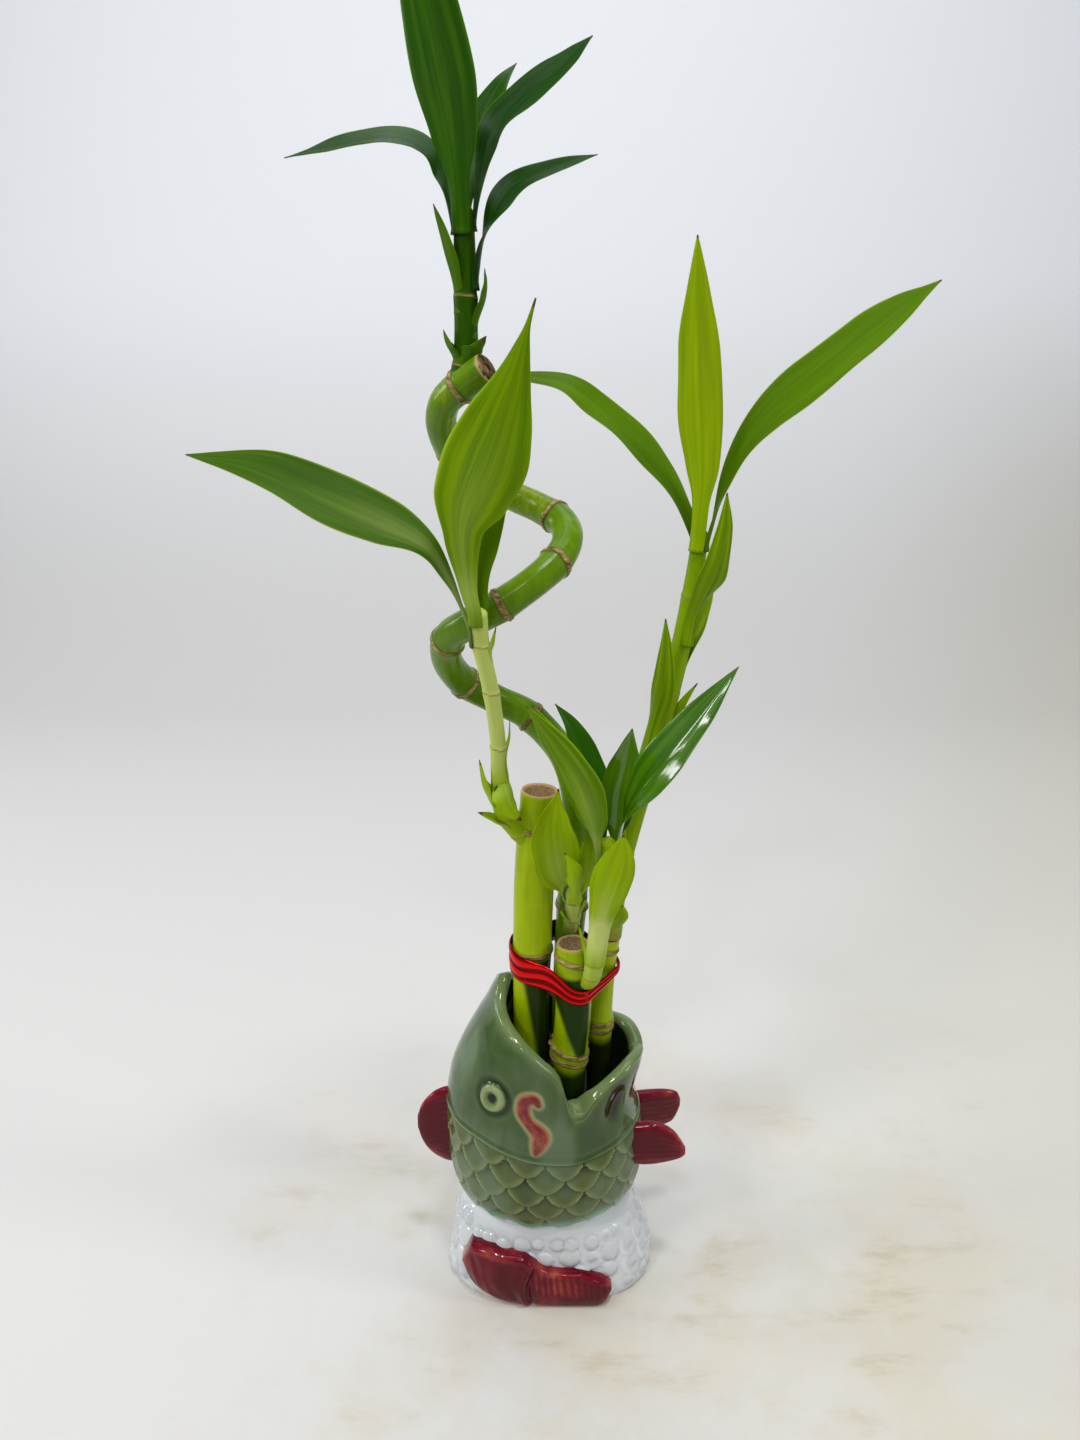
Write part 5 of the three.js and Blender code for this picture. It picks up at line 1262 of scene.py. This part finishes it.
# floor and backdrop in one sweep
stage = {"reach": 1.6, "near": -1.2, "far": 0.75, "curve": 0.35, "high": 1.7, "stainAt": (0.06, -0.05, 0)}
bend = np.linspace(0, np.pi / 2, 24)
profile = np.vstack([
    [stage["near"], 0],
    np.stack([stage["far"] + stage["curve"] * np.sin(bend), stage["curve"] * (1 - np.cos(bend))], -1),
    [stage["far"] + stage["curve"], stage["high"]]])
sweep = [(x, y, z) for y, z in profile.tolist() for x in (-stage["reach"], stage["reach"])]
mesh = bpy.data.meshes.new("sweep")
mesh.from_pydata(sweep, [], [(2 * k, 2 * k + 1, 2 * k + 3, 2 * k + 2) for k in range(len(profile) - 1)])
mesh.polygons.foreach_set("use_smooth", np.ones(len(mesh.polygons), bool))
paper = Finish("sweep", Roughness=0.75)
where = paper.place()
smudge = paper.ease(paper.noise(where, 9, 6, 0.66), 0.42, 0.66)
away = paper.node("ShaderNodeVectorMath", {"operation": "DISTANCE"}, {0: where, 1: stage["stainAt"]}, out=1)
stain = smudge * paper.ease(away, 0.34, 0.06)
up = paper.ease(paper.node("ShaderNodeSeparateXYZ", None, {"Vector": where}, out=2), 0, 0.5)
grains = paper.ease(paper.noise(paper.stretched(where, (0.3, 1, 1)), 60, 5, 0.7), 0.5, 0.7)
# painted shade: the floor is painted darker and warmer towards the right front
right = paper.node("ShaderNodeVectorMath", {"operation": "DOT_PRODUCT"}, {0: where, 1: (0.9, -0.4, 0)}, out=1)
right_side_shade = paper.ease(right, -0.1, 0.3) * (1 - up)
# painted light: the sweep is painted lighter from the floor up the backdrop, where less lamp light reaches it
colour = paper.blend(up, rgb(214, 213, 210), rgb(248, 250, 254))
for cover, over in (
        (right_side_shade * 0.8, rgb(206, 203, 190)), (stain * 0.62, rgb(205, 196, 172)),
        (grains * stain * 0.6, rgb(184, 170, 142))):
    colour = paper.blend(cover, colour, over)
mesh.materials.append(paper.feed(Base_Color=colour))
sweepObject = bpy.data.objects.new("sweep", mesh)
bpy.context.scene.collection.objects.link(sweepObject)

# lights and camera
scene = bpy.context.scene
room = {"colour": (0.86, 0.9, 1.0, 1), "strength": 0.26}
world = bpy.data.worlds.new("room")
world.use_nodes = True
world.node_tree.nodes["Background"].inputs["Color"].default_value = room["colour"]
world.node_tree.nodes["Background"].inputs["Strength"].default_value = room["strength"]
scene.world = world
lights = {
    "window": {"at": (-0.8, -0.8, 1.3), "size": 0.2, "power": 4.5},
    "skylight": {"at": (-0.9, -0.15, 1.15), "size": 0.2, "power": 2.5},
    "pane": {"at": (-0.15, -0.9, 1.2), "size": 0.12, "power": 2.4},
    "bulb": {"at": (0.1, -0.25, 1.3), "size": 0.12, "power": 3},
    "ceiling": {"at": (0.1, 0.25, 1.6), "size": 1.1, "power": 7.6},
    "right": {"at": (1.0, -0.2, 0.9), "size": 0.2, "power": 3},
    "side": {"at": (-1.18, 0.24, 0.52), "size": 0.12, "tall": 0.36, "power": 2.6},
}
for name, spec in lights.items():
    lamp = bpy.data.lights.new(name, "AREA")
    lamp.shape = "RECTANGLE"
    lamp.size, lamp.size_y, lamp.energy = spec["size"], spec.get("tall", spec["size"]), spec["power"]
    held = bpy.data.objects.new(name, lamp)
    held.location = spec["at"]
    held.rotation_euler = (Vector((0, 0, 0.2)) - held.location).to_track_quat("-Z", "Y").to_euler()
    scene.collection.objects.link(held)

view = {"at": (-0.0022, -0.392, 0.392), "tilt": 70.6, "lens": 27.03, "film": 36}
lens = bpy.data.cameras.new("camera")
lens.lens, lens.sensor_width = view["lens"], view["film"]
camera = bpy.data.objects.new("camera", lens)
camera.location = view["at"]
camera.rotation_euler = (radians(view["tilt"]), 0, 0)
scene.collection.objects.link(camera)
scene.camera = camera
scene.view_settings.view_transform = "Standard"
